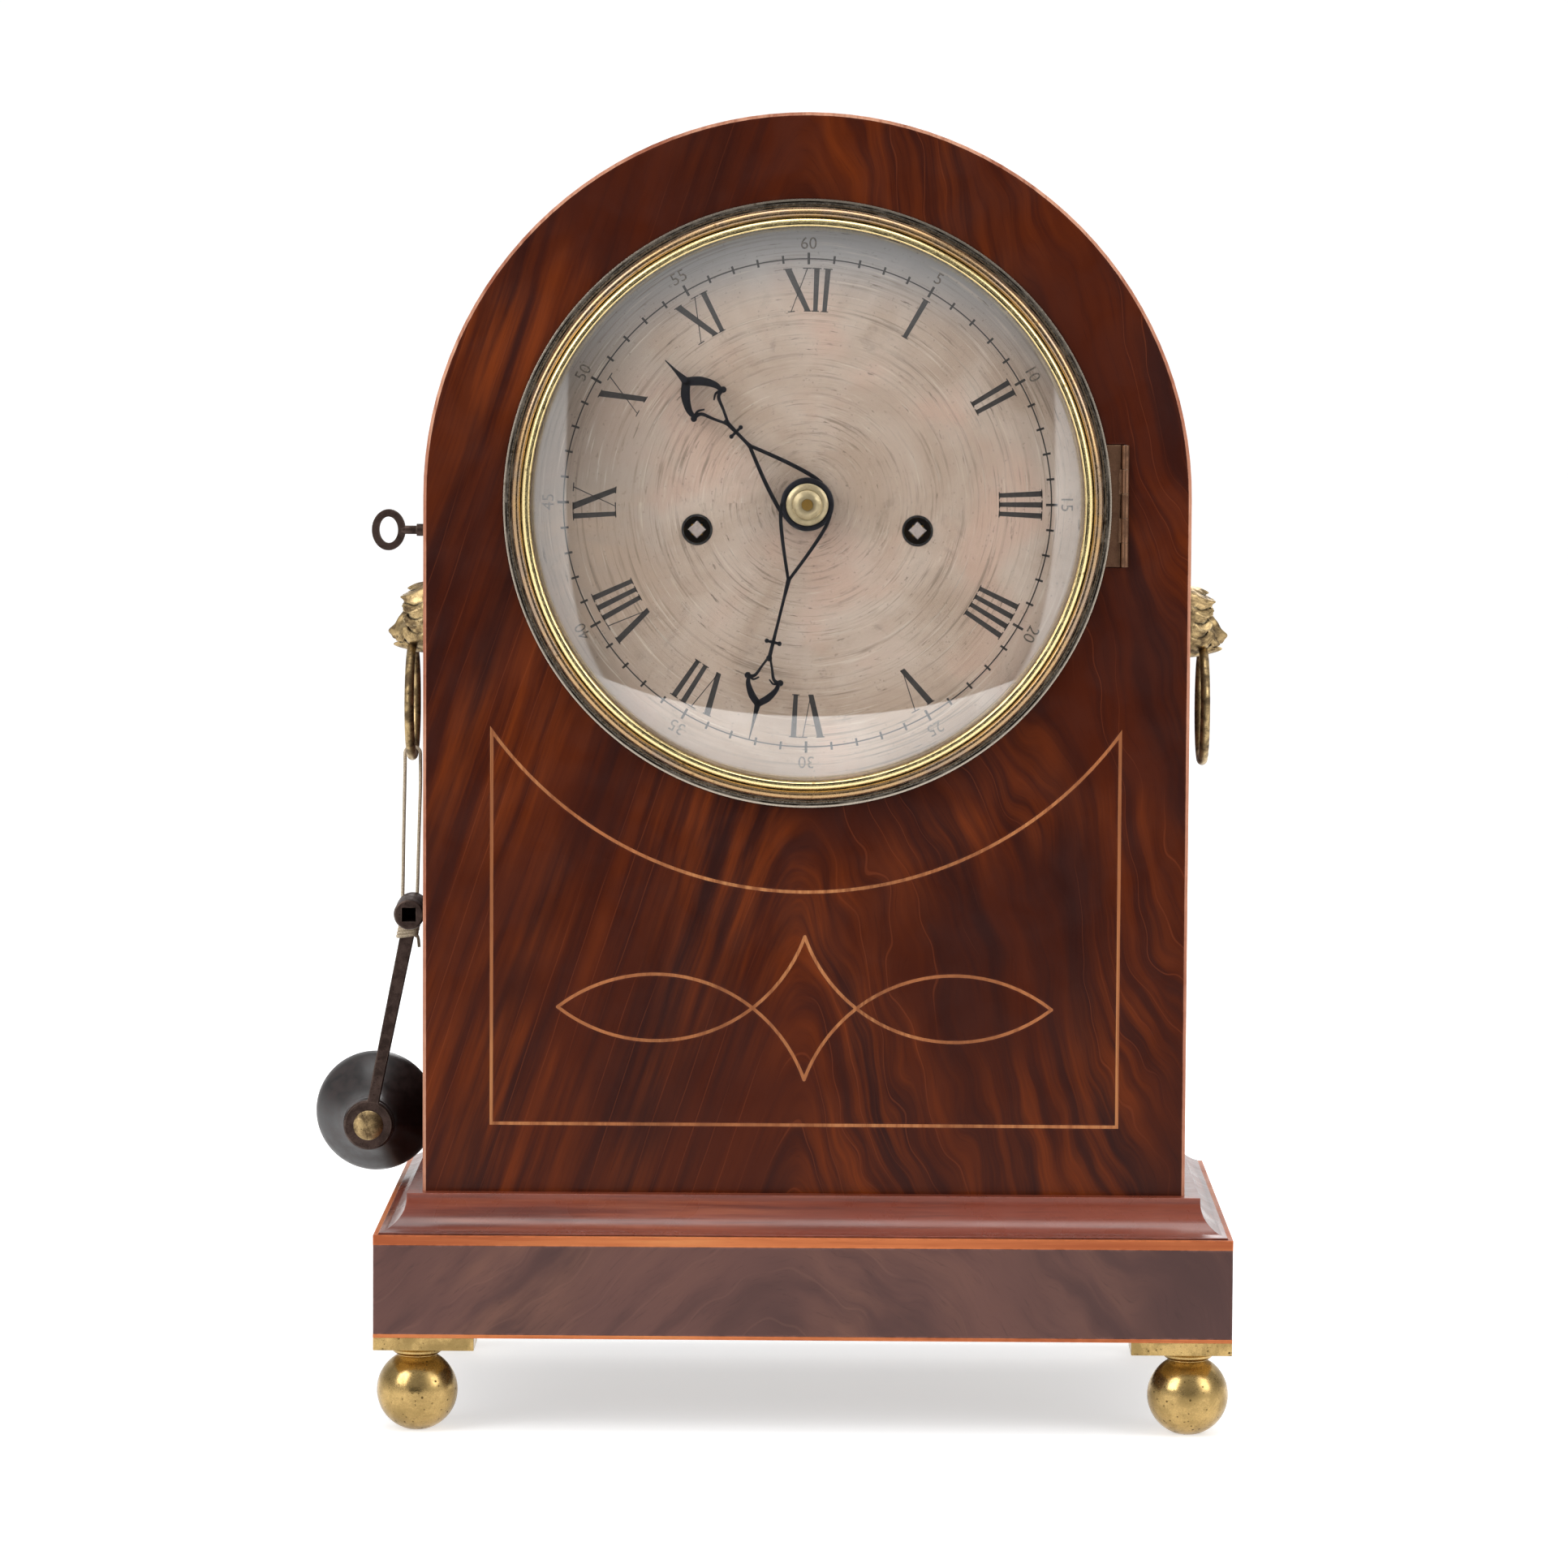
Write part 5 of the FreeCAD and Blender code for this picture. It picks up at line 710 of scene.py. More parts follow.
def build_twine():
    """Twine on its spline, its tie round the arm, and the knot with two tails.

    The tie is a helix whose turns are rounded squares: cos^4 + sin^4 to the power -1/4."""
    made, radius = finishes()["twine"], size("twine") / 2
    curve = twine_route()
    curve.bevel_depth = radius * MM
    curve.bevel_resolution = 3
    curve.materials.append(made)
    twine = bpy.data.objects.new("twine_loop", curve)
    bpy.context.scene.collection.objects.link(twine)
    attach(twine, "crank")
    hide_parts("twine")
    turns = np.linspace(0, 4.2, 150)
    angle = turns * 2 * np.pi
    half = np.array([2.4, 1.8]) + radius + 0.15
    wide = (np.abs(np.cos(angle)) ** 4 + np.abs(np.sin(angle)) ** 4) ** -0.25
    lean = (turns - 2.1) * 1.15 + 0.35 * np.sin(angle + 1)
    tie = np.stack([TIE[0] + half[0] * wide * np.cos(angle) + lean * 0.2,
                    TIE[1] + half[1] * wide * np.sin(angle), TIE[2] + lean], -1)
    shape = Shape().grid(swept(tie, round_section(radius), (0, 0, 1)), False, True, True)
    knot = through([(-134.6, 9.3, 157.6), (-136.6, 10.4, 156.9), (-136.3, 10.9, 154.8),
                    (-134.4, 10.6, 154.4), (-134.5, 9.9, 156.6), (-136.4, 9.9, 155.4)], 8)
    shape.grid(swept(knot, round_section(radius), (0.3, 1, 0.2)), False, True, True)
    tails = [[(-134.4, 10.4, 155.4), (-132.6, 10.8, 153.0), (-132.0, 10.0, 149.4)],
             [(-136.4, 10.4, 155.0), (-137.7, 10.9, 152.2), (-138.6, 9.9, 150.6)]]
    for tail in tails:
        path = through(tail, 8)
        shape.grid(swept(path, round_section(radius * 0.9), (0, 1, 0.2)), False, True, True)
    tied = shape.piece("twine_tie", "crank", made, "twine", sharp=80)
    line = bpy.data.objects.new("twine_measure", twine_route())
    measured = np.array([v.co for v in bpy.data.meshes.new_from_object(line).vertices])
    bpy.data.objects.remove(line)


def build_crank():
    """Tapered arm with round edges, square-bored pipe, boss with its rivet, turned knob.

    The bore's radius at an angle is its half width over the larger of cosine and sine."""
    F = finishes()
    knob = np.array([-149.0, 0, 88.7])
    pipe = np.array([HANG[0], 0, PIPE_Z])
    along = knob - pipe
    steps = np.linspace(-0.02, 1.0, 40)
    path = pipe + steps[:, None] * along
    path[:, 1] = ARM_BACK - 0.06
    width = np.interp(steps, (0, 0.12, 0.5, 0.88, 1.0), (5.4, 4.7, 4.3, 3.9, 5.6))
    shape = Shape()
    bar = strip_section(width, ARM_BACK - ARM_FRONT - 0.12)
    shape.grid(swept(path, bar, (0, -1, 0)), False, True, True)
    front = -13.95
    angle = np.linspace(0, 2 * np.pi, 64, endpoint=False)
    square = 2.4 / np.maximum(np.abs(np.cos(angle)), np.abs(np.sin(angle)))
    rounds = [(0.0, ARM_BACK, 0), (4.9, ARM_BACK, 0), (5.5, ARM_BACK - 0.6, 0), (5.5, 3.0, 0),
              (5.15, -1.0, 0), (5.2, -12.6, 0), (4.9, front + 0.25, 0), (4.55, front, 0),
              (1.0, front, 1), (0.96, front + 0.35, 1), (0.94, 4.4, 1), (0.0, 4.4, 1)]
    rows = [np.stack([pipe[0] + np.cos(angle) * (r * square if flat else r),
                      np.full(64, y), pipe[2] + np.sin(angle) * (r * square if flat else r)], -1)
            for r, y, flat in rounds]
    shape.grid(np.array(rows), False, True)
    boss = [(0, 0), (8.1, 0), (8.5, 0.4), (8.5, 2.9), (7.9, 3.6), (0, 3.6)]
    shape.grid(facing(turned(boss, 64, False), knob[0], ARM_BACK, knob[2]), False, True)
    pin = [(0, 0), (2.6, 0), (2.6, 32.0), (2.2, 32.6), (0, 32.6)]
    shape.grid(along_y(turned(pin, 24, False), knob[0], ARM_BACK - 0.5, knob[2]), False, True)
    shape.piece("crank_forging", "crank", F["iron"], "iron", ("crank_arm",), 35)
    rivet = [(0, 0), (5.0, 0), (5.05, 0.35), (4.3, 1.0), (3.1, 1.42), (1.6, 1.58), (0, 1.6)]
    Shape().grid(facing(turned(rivet, 48, False), knob[0], ARM_FRONT, knob[2]), False, True) \
        .piece("crank_rivet", "crank", F["gilt"], "brass_dark", (), 50)
    profile = [(2.9, 0.3), (8.2, 0.3), (8.9, 0.8), (9.0, 1.9), (8.5, 2.6), (8.0, 4.4), (7.8, 8.0),
               (8.3, 12.5), (10.2, 17.5), (13.6, 23.0), (17.4, 28.2), (19.9, 32.0),
               (20.7, 34.2), (20.8, 35.4), (20.2, 37.2), (18.4, 39.0), (15.2, 40.4),
               (10.5, 41.5), (5.0, 42.1), (0, 42.3)]
    smooth = np.vstack([profile[:4], through(profile[3:], 4)[1:]])
    smooth[:, 0] = np.clip(smooth[:, 0], 0, 20.8)
    Shape().grid(along_y(turned(smooth, 96, False), knob[0], ARM_BACK, knob[2]), False, True) \
        .piece("crank_handle", "crank_knob", F["ebony"], "ebonised", ("crank_knob",), 45)


# ---------------------------------------------------------------- feet, bezel and glass
def build_feet():
    """Ball feet turned from an arc of a circle with a flat below and a neck above."""
    F = finishes()
    radius, shape = size("ball"), Shape()
    angle = np.linspace(-math.pi / 2 + 0.28, math.pi / 2 - 0.50, 40)
    ball = np.stack([radius * np.cos(angle), radius - 0.5 + radius * np.sin(angle)], -1)
    top = ball[-1]
    profile = np.vstack([[(0, 0), (ball[0][0] - 0.3, 0)], ball,
                         [(top[0], top[1] + 0.15), (7.4, 25.2), (7.9, 25.6), (8.1, 26.3),
                          (7.8, 27.1), (8.6, 27.5), (8.8, 27.9), (0, 27.9)]])
    profile[:, 1] = np.clip(profile[:, 1], 0, 27.9)
    for x in (-126.8, 126.8):
        for y in (-78.8, 78.8):
            shape.grid(turned(profile, 72, False) + (x, y, 0), False, True)
    shape.piece("ball_feet_turned", "case", F["brass"], "brass", ("ball_feet",), 32)
    dressed("foot_plates", F["brass"], 0.3)


def bezel_profile():
    """Cast bezel in section: thin flange, black gap, outer roll, groove, inner roll, rebate."""
    return [(90.2, 0.05), (90.25, 1.9), (91.6, 2.0), (91.65, 5.5), (90.5, 5.75), (90.2, 6.2),
            (90.3, 6.9), (90.8, 7.4), (91.4, 7.54), (92.0, 7.45), (92.55, 7.1), (92.85, 6.5),
            (92.95, 5.75), (93.15, 5.55), (93.4, 5.95), (93.85, 6.35), (94.5, 6.5),
            (95.2, 6.35), (95.85, 5.85), (96.15, 5.2), (96.2, 4.5), (96.2, 1.5), (96.4, 1.25),
            (96.9, 1.2), (97.0, 0.95), (97.3, 1.2), (98.6, 1.2), (99.1, 1.05), (99.25, 0.6),
            (99.25, 0.05)]


def build_bezel():
    """The bezel's section carried round the dial, and the domed glass.

    The glass lies between two spheres round one centre, whose outer radius is
    (edge squared + rise squared) / twice the rise."""
    F = finishes()
    back = BEZEL_HIGH[1]
    shape = Shape()
    shape.grid(facing(turned(bezel_profile(), 256), 0, back, DIAL_Z), True, True)
    shape.piece("bezel_cast", "bezel", F["bezel"], "brass", ("bezel",), 38)
    edge, rise, thick = 91.5, size("glass_rise"), size("glass_thick")
    outer = (edge ** 2 + rise ** 2) / (2 * rise)
    radius = np.linspace(0, edge, 40)
    front = np.sqrt(outer ** 2 - radius ** 2) - outer
    inner = np.sqrt((outer - thick) ** 2 - radius ** 2) - outer
    depth = back - box_mm("bezel_glass")[0][1]
    profile = np.vstack([np.stack([radius, front + depth], -1),
                         np.stack([radius[::-1], inner[::-1] + depth], -1)])
    Shape().grid(facing(turned(profile, 192, False), 0, back, DIAL_Z), False, True) \
        .piece("bezel_glass_domed", "bezel", F["glass"], "glass", ("bezel_glass",), 40)
    paint("glass_retaining_ring", F["gilt"])
    for name in ("bezel_hinge_moving_leaf", "bezel_hinge_fixed_leaf", "bezel_catch"):
        dressed(name, F["leaf"], 0.12)
    paint("hinge_pins", F["steel"])


def slotted(radius, height):
    """A screw head made round Z: a parabola's dome, less a narrow bell-shaped trough across."""
    reach = np.linspace(0, 1, 9)[:, None]
    angle = np.linspace(0, 2 * np.pi, 32, endpoint=False)
    x, y = reach * radius * np.cos(angle), reach * radius * np.sin(angle)
    dome = height * (1 - 0.45 * reach ** 2)
    slot = 0.55 * height * np.exp(-(y / (radius * 0.16)) ** 4)
    top = np.stack([x, y, dome - slot], -1)
    rim = np.stack([radius * np.cos(angle), radius * np.sin(angle), 0 * angle], -1)[None]
    return np.concatenate([top, rim])


# ---------------------------------------------------------------- dial and hands
NUMERALS = ("XII", "I", "II", "III", "IIII", "V", "VI", "VII", "VIII", "IX", "X", "XI")
WIDTH_OF = {"I": 3.3, "V": 7.6, "X": 8.2}


def bar_prism(corners, front, thick=0.05):
    """A stroke: its four corners (x, z) at a depth, and the same four behind."""
    corners = np.asarray(corners, float)
    near = np.c_[corners[:, 0], np.full(len(corners), front), corners[:, 1]]
    return np.concatenate([near, near + (0, thick, 0)])


def fan(corners, hour):
    """Bends a numeral's (across, radius) corners round the dial to its hour."""
    turn = hour * math.pi / 6 + corners[:, 0] / 69.6
    return np.c_[corners[:, 1] * np.sin(turn), corners[:, 1] * np.cos(turn) + DIAL_Z]


def letter_strokes(letter, left):
    """The strokes of I, V or X as (x0, r0, x1, r1, width), serifs among them."""
    mid, wide = left + WIDTH_OF[letter] / 2, WIDTH_OF[letter]
    foot, head = size("numeral_foot"), size("numeral_head")
    serif = 0.34
    if letter == "I":
        return [(mid, foot, mid, head, 1.6)] + [
            (mid - 1.35, r, mid + 1.35, r, serif) for r in (foot + 0.17, head - 0.17)]
    low = mid if letter == "V" else left + wide - 1.0
    strokes = [(left + 1.2, head, low, foot, 1.85)]
    other = mid if letter == "V" else left + 1.0
    strokes.append((left + wide - 1.1, head, other, foot, 0.3))
    for x in (left + 1.2, left + wide - 1.2):
        strokes.append((x - 1.3, head - 0.17, x + 1.3, head - 0.17, serif))
        if letter == "X":
            strokes.append((x - 1.3, foot + 0.17, x + 1.3, foot + 0.17, serif))
    return strokes


def stroke_corners(x0, r0, x1, r1, width):
    """Corners of a stroke cut square to the numeral's foot, or upright for a serif."""
    half = width / 2
    if abs(r1 - r0) < 0.01:
        return np.array([(x0, r0 - half), (x1, r0 - half), (x1, r0 + half), (x0, r0 + half)])
    slant = half * math.hypot(x1 - x0, r1 - r0) / abs(r1 - r0)
    return np.array([(x0 - slant, r0), (x0 + slant, r0), (x1 + slant, r1), (x1 - slant, r1)])


WINDING_X, WINDING_Z = 36.0, DIAL_Z - 8.7
PRISM = [(0, 1, 2, 3), (7, 6, 5, 4), (0, 4, 5, 1), (1, 5, 6, 2), (2, 6, 7, 3), (3, 7, 4, 0)]


def ring_band(inner, outer, front, sides=240, thick=0.05):
    """A flat ring on the dial: its section carried round."""
    depth = [(inner, thick), (outer, thick), (outer, 0), (inner, 0)]
    return facing(turned(depth, sides), 0, front + thick, DIAL_Z)


def build_dial():
    """The plate's finish, and figures: wax-filled hour numerals, minute track and digits."""
    F = finishes()
    dressed("dial_plate", F["dial"], 0.0, 30)
    front = DIAL_FACE - 0.05
    inked, faint = Shape(), Shape()
    for hour, word in enumerate(NUMERALS):
        left = -sum(WIDTH_OF[c] for c in word) / 2
        for letter in word:
            for stroke in letter_strokes(letter, left):
                corners = fan(stroke_corners(*stroke), hour)
                inked.mesh(bar_prism(corners, front), PRISM)
            left += WIDTH_OF[letter]
    inked.grid(ring_band(79.4, 79.82, front), True, True)
    for minute in range(60):
        turn = minute * math.pi / 30
        long = minute % 5 == 0
        inner, outer, half = (77.8, 81.6, 0.42) if long else (78.35, 80.95, 0.36)
        corners = np.array([(-half, inner), (half, inner), (half, outer), (-half, outer)])
        spun = np.c_[corners[:, 0] * math.cos(turn) + corners[:, 1] * math.sin(turn),
                     corners[:, 1] * math.cos(turn) - corners[:, 0] * math.sin(turn) + DIAL_Z]
        inked.mesh(bar_prism(spun, front), PRISM)
    inked.piece("dial_numerals", "case", F["ink"], "silvered", (), 30, weld=0.0)
    for minute in range(5, 65, 5):
        vertices, polygons = digits(str(minute), size("digit"))
        turn = minute * math.pi / 30
        reach = 84.7
        x = vertices[:, 0] * math.cos(turn) + (vertices[:, 1] + reach) * math.sin(turn)
        z = (vertices[:, 1] + reach) * math.cos(turn) - vertices[:, 0] * math.sin(turn) + DIAL_Z
        faint.mesh(np.c_[x, front - vertices[:, 2], z], polygons)
    faint.piece("dial_digits", "case", F["ink_faint"], "silvered", (), 30, weld=0.0)
    # painted shade: near-black sleeves lining the winding holes, where the gap behind the dial
    # lies in shade
    holes = Shape()
    for side in (-1, 1):
        ring = [(4.35, 0.25), (5.05, 0.25), (5.1, 0.0), (5.05, -1.3), (4.4, -1.3), (4.35, 0.0)]
        holes.grid(facing(turned(ring, 64), WINDING_X * side, DIAL_FACE, WINDING_Z), True, True)
    holes.piece("winding_hole_shade", "case", F["recess"], "silvered", (), 40)


ARBOR_END = -70.7


def build_squares():
    """The winding squares' bright ends, turned on their corners, on the fusee arbors."""
    F = finishes()
    for side, body in ((-1, "strike_fusee"), (1, "going_fusee")):
        half = 2.1 * math.sqrt(2)
        rows = [(0.0, 0.25), (half - 0.45, 0.25), (half, -0.1), (half, -7.0), (0.0, -7.0)]
        ring = facing(turned(rows, 4, False), WINDING_X * side, ARBOR_END, WINDING_Z)
        Shape().grid(ring, False, True) \
            .piece("winding_square_" + body[:5], body, F["square"], "movement_brass", (), 30)


def digits(text, height):
    """A number as a flat mesh centred on its middle, in millimetres."""
    words = bpy.data.curves.new("digits", "FONT")
    words.body, words.size = text, height * 1.42
    words.align_x, words.align_y = "CENTER", "CENTER"
    words.resolution_u = 3
    words.extrude = 0.02
    holder = bpy.data.objects.new("digits", words)
    mesh = bpy.data.meshes.new_from_object(holder)
    vertices = np.array([v.co for v in mesh.vertices]).reshape(-1, 3)
    vertices[:, :2] -= (vertices[:, :2].min(0) + vertices[:, :2].max(0)) / 2
    polygons = [tuple(p.vertices) for p in mesh.polygons]
    bpy.data.objects.remove(holder)
    return vertices, polygons


def hand_shape(angle, back_y, stroke, meet, cross, split, knob, out, heart, tip, lobe):
    """A pierced hand laid out along its own axis, then turned to its angle on the dial.

    Tapering bars follow smooth curves: arms from the boss, the stem, a heart of two lobes
    that swell to their top, and the point."""
    shape, flat = Shape(), size("hand")

    def bar(points, widths, steps=8, thick=flat):
        line = through(np.array(points, float), steps)
        share = np.linspace(0, 1, len(line))
        width = np.interp(share, np.linspace(0, 1, len(widths)), widths)
        path = np.c_[line[:, 0], 0 * share, line[:, 1]]
        shape.grid(swept(path, strip_section(width, thick), (0, -1, 0)), False, True, True)

    def bead(x, along, radius):
        dome = [(0, 0), (radius, 0), (radius, 0.75), (radius * 0.75, 1.1), (0, 1.22)]
        shape.grid(facing(turned(dome, 20, False), x, 0, along), False, True)

    ring = [(7.0, 0), (8.6, 0), (8.7, 0.3), (8.6, 1.0), (8.3, 1.2), (7.2, 1.2), (7.0, 1.0)]
    shape.grid(facing(turned(ring, 72), 0, 0, 0), True, True)
    web = [(1.9, 0), (7.1, 0), (7.1, 0.9), (1.9, 0.9)]
    shape.grid(facing(turned(web, 48), 0, 0, 0), True, True)
    for side in (-1, 1):
        bar([(8.1 * side, 1.6), (7.4 * side, 6.2), (4.6 * side, meet * 0.58),
             (0.35 * side, meet)], (stroke, stroke * 1.05, stroke * 0.9))
        bar([(0.15 * side, split - 0.6), (out * 0.34 * side, split + (knob - split) * 0.42),
             (out * 0.62 * side, knob - 0.9), (out * side, knob)],
            (stroke * 0.7, stroke * 0.7, stroke * 0.9, stroke * 1.0))
        bar([(out * side, knob), (out * 0.93 * side, knob + (heart - knob) * 0.30),
             (out * 0.55 * side, knob + (heart - knob) * 0.70), (0.25 * side, heart)],
            (stroke * 1.0, lobe * 0.85, lobe * 1.2, lobe * 1.15))
        bar([(out * side, knob), (out * 0.66 * side, knob + 0.6), (out * 0.34 * side, knob - 0.5)],
            (stroke * 0.8, stroke * 0.62, stroke * 0.4), 6)
        bead((out + 0.45) * side, knob - 0.2, 1.05)
        bead(2.1 * side, cross, 0.75)
    bar([(0, meet - 0.4), (0, (meet + cross) / 2), (0, split)],
        (stroke * 1.4, stroke * 0.9, stroke * 0.85, stroke * 1.2))
    bar([(-2.4, cross), (0, cross), (2.4, cross)], (0.7, 1.1, 0.7), 4)
    bead(0, split, 1.0)
    bar([(0, heart - 0.8), (0, heart + (tip - heart) * 0.35), (0, tip)],
        (lobe * 1.25, lobe * 0.85, stroke * 0.75, 0.3))

    def turn(points):
        a = math.radians(angle)
        x, along = points[:, 0], points[:, 2]
        return np.c_[x * math.cos(a) + along * math.sin(a), points[:, 1] + back_y,
                     along * math.cos(a) - x * math.sin(a) + DIAL_Z]

    return shape.moved(turn)


def build_hands():
    """Blued hour and minute hands, pierced, and the worn collet that holds them."""
    F = finishes()
    hour = hand_shape(315.0, -75.0, stroke=1.3, meet=26.0, cross=33.0, split=37.4, knob=45.9,
                      out=6.3, heart=55.8, tip=65.8, lobe=2.5)
    hour.piece("hour_hand_pierced", "hour", F["hands"], "blued_steel", ("hour_hand",), 35)
    minute = hand_shape(193.6, -78.4, stroke=1.15, meet=24.7, cross=46.2, split=51.6, knob=58.8,
                        out=5.0, heart=66.7, tip=79.0, lobe=1.9)
    minute.piece("minute_hand_pierced", "centre", F["hands"], "blued_steel", ("minute_hand",), 35)
    dome = [(1.85, 0), (6.7, 0), (6.9, 0.3), (6.85, 0.75), (6.3, 1.2), (5.4, 1.45), (5.0, 1.5),
            (4.7, 1.3), (4.4, 1.5), (3.6, 2.1), (2.9, 2.35), (1.9, 2.4)]
    Shape().grid(facing(turned(dome, 64), 0, -79.6, DIAL_Z), True, True) \
        .piece("hand_collet_turned", "centre", F["collet"], "brass", ("hand_collet",), 35)


# ---------------------------------------------------------------- masks, rings and key
MASK_Z = 262.5


def lion_height(u, v):
    """How far a cast lion's face stands from the case: a dome, with bumps and hollows added.

    Each feature is a bell curve round its own place; the mane is waves round the rim."""
    def bell(x, y, wide, tall):
        return np.exp(-((np.abs(u) - x) / wide) ** 2 - ((v - y) / tall) ** 2)

    def middle(y, wide, tall):
        return np.exp(-(u / wide) ** 2 - ((v - y) / tall) ** 2)

    rho = np.hypot(u, v) / size("mask")
    angle = np.arctan2(v, np.abs(u))
    height = 2.2 + 8.6 * np.sqrt(np.clip(1 - rho ** 2, 0, 1))
    height += 6.2 * middle(-6.2, 4.2, 3.9) + 1.3 * middle(-4.4, 2.2, 1.6)
    height += 2.4 * middle(-0.6, 1.4, 3.0) + 1.7 * bell(3.0, 2.6, 2.2, 1.3)
    height -= 2.0 * bell(3.1, 0.4, 1.5, 1.0)
    height += 1.3 * bell(3.1, 0.3, 0.75, 0.6) + 1.1 * bell(4.7, -4.3, 1.8, 2.2)
    height -= 1.9 * np.exp(-((v + 8.0 + 0.05 * u ** 2) / 0.5) ** 2 - (u / 4.4) ** 2)
    height -= 0.9 * np.exp(-(u / 0.4) ** 2 - ((v + 6.6) / 0.9) ** 2)
    height += 1.5 * middle(-10.0, 2.8, 1.6) - 0.8 * middle(6.4, 0.6, 3.0)
    height += 2.8 * bell(6.9, 6.2, 1.6, 1.9) - 1.7 * bell(6.7, 5.9, 0.7, 1.0)
    mane = np.clip((rho - 0.50) / 0.18, 0, 1)
    curl = angle * 11 + 3.2 * np.sin(rho * 9) + 1.2 * np.sin(angle * 3)
    locks = 0.5 + 0.5 * np.cos(curl)
    fine = 0.5 + 0.5 * np.cos(curl * 3 + 1.0)
    height += mane * (2.3 * np.exp(-((rho - 0.78) / 0.2) ** 2) + 1.9 * locks + 0.55 * fine - 1.2)
    return np.clip(height, 0.3, 18.6)


def build_masks():
    """Two lion masks as height fields on polar grids, and the rings in their mouths.

    A ring is a torus whose wire is worn a little thinner towards its top."""
    F = finishes()
    for side, name in ((-1, "left"), (1, "right")):
        rho = np.linspace(0, 1, 64)[:, None] ** 0.9
        angle = np.linspace(0, 2 * np.pi, 168, endpoint=False)[None]
        rim = 1 + 0.035 * np.cos(11 * angle)
        u = rho * rim * size("mask") * np.cos(angle)
        v = rho * rim * size("mask") * np.sin(angle) - 0.5 * rho * np.clip(-np.sin(angle), 0, 1)
        face = np.stack([side * (CASE_HALF + lion_height(u, v)), CASE_MID_Y + u, MASK_Z + v], -1)
        foot = face[-1:].copy()
        foot[..., 0] = side * (CASE_HALF - 0.05)
        shape = Shape().grid(np.concatenate([face, foot, foot * (1, 0, 0)
                                             + (0, CASE_MID_Y, MASK_Z)]), False, True)
        shape.piece("lion_face_" + name, "case", F["gilt"], "brass_dark",
                    ("lion_mask_" + name,), 55)
        turn = np.linspace(0, 2 * np.pi, 128, endpoint=False)[:, None]
        around = np.linspace(0, 2 * np.pi, 20, endpoint=False)[None]
        wire = size("wire") / 2 - 0.16 * (0.5 + 0.5 * np.sin(turn))
        reach = RING_REACH + wire * np.cos(around)
        ring = np.stack([side * RING_X + wire * np.sin(around), CASE_MID_Y + reach * np.cos(turn),
                         RING_Z + reach * np.sin(turn)], -1)
        Shape().grid(ring, True, True) \
            .piece("ring_wire_" + name, "ring_" + name, F["gilt"], "brass_dark",
                   ("ring_handle_" + name,), 60)
    dressed("key", F["iron"], 0.15)
    paint("lock_escutcheon", F["gilt"])
    for name, finish_name in (("lock_case", "iron"), ("lock_bolt", "steel")):
        paint(name, F[finish_name])


# ---------------------------------------------------------------- woodwork and movement
def build_case():
    """Veneered case, plinth and moulding with softened edges, stringing and inlay lines."""
    F = finishes()
    dressed("case_front", F["veneer"], 0.25)
    dressed("case_carcass", F["side"], 0.3, merged=True)
    dressed("plinth", F["plinth"], 0.45)
    dressed("base_moulding", F["moulding"], 0.2)
    for name, finish_name in (("plinth_stringing", "string"), ("front_inlay", "inlay"),
                              ("front_arris_stringing", "arris"), ("base_board", "pine"),
                              ("seat_board", "pine"), ("seat_rails", "pine")):
        paint(name, F[finish_name])


def build_door():
    """The glazed back door: frame with softened edges, pane, leaves with screws, turn catch."""
    F = finishes()
    dressed("back_door_frame", F["door"], 0.5)
    paint("back_door_glass", F["pane"])
    for name in ("back_door_fixed_leaves", "back_door_moving_leaves"):
        dressed(name, F["brass"], 0.15)
    dressed("back_door_turn_catch", F["brass"], 0.2)
    fixed, moving = Shape(), Shape()
    low, high = box_mm("back_door_fixed_leaves")
    half_leaf, half_gap, leaf_face = 17.0, 10.0, high[1] - 1.55
    for middle_z in (low[2] + half_leaf, high[2] - half_leaf):
        for z in (middle_z - half_gap, middle_z + half_gap):
            for leaf, x in ((fixed, 121.2), (moving, 107.6)):
                leaf.grid(along_y(slotted(1.7, 0.5), x, leaf_face, z), False, True)
    fixed.piece("hinge_screws_fixed", "case", F["brass"], "brass", (), 40)
    moving.piece("hinge_screws_moving", "back_door", F["brass"], "brass", (), 40)
    low, high = box_mm("back_door_turn_catch")
    pivot = along_y(slotted(2.0, 0.7), (low[0] + high[0]) / 2, high[1] - 0.05, low[2] + 3.0)
    Shape().grid(pivot, False, True) \
        .piece("catch_screw", "turn_catch", F["brass"], "brass", (), 40)


def build_movement():
    """Finishes for the plates, trains, bell, hammer and pendulum."""
    F = finishes()
    brass = ("front_plate", "back_plate", "plate_pillars", "dial_feet", "back_cock",
             "going_fusee", "strike_fusee", "going_barrel", "strike_barrel", "centre_wheel",
             "third_wheel", "escape_wheel", "pin_wheel", "hour_wheel", "minute_wheel")
    for name in brass:
        paint(name, F["plates"])
    for name in ("pallets_and_crutch", "pendulum_rod", "bell_stand", "hammer"):
        paint(name, F["steel"])
    screws, back_face, front_face = Shape(), 14.95, -49.95
    for x in (-65.0, 65.0):
        for z in (231.9, 369.9):
            screws.grid(along_y(slotted(3.2, 1.3), x, back_face, z), False, True)
            screws.grid(facing(slotted(3.2, 1.3), x, front_face, z), False, True)
    screws.piece("plate_screws", "case", F["steel"], "steel", (), 40)
    paint("bell", F["bell"])
    paint("pendulum_bob", F["brass"])


# ---------------------------------------------------------------- floor, lamps and camera
FLOOR_GREY = (0.62, 0.62, 0.62)
OPENING_WIDE, OPENING_LOW = 0.362, 0.374  # half width in radians, and depth below the horizon


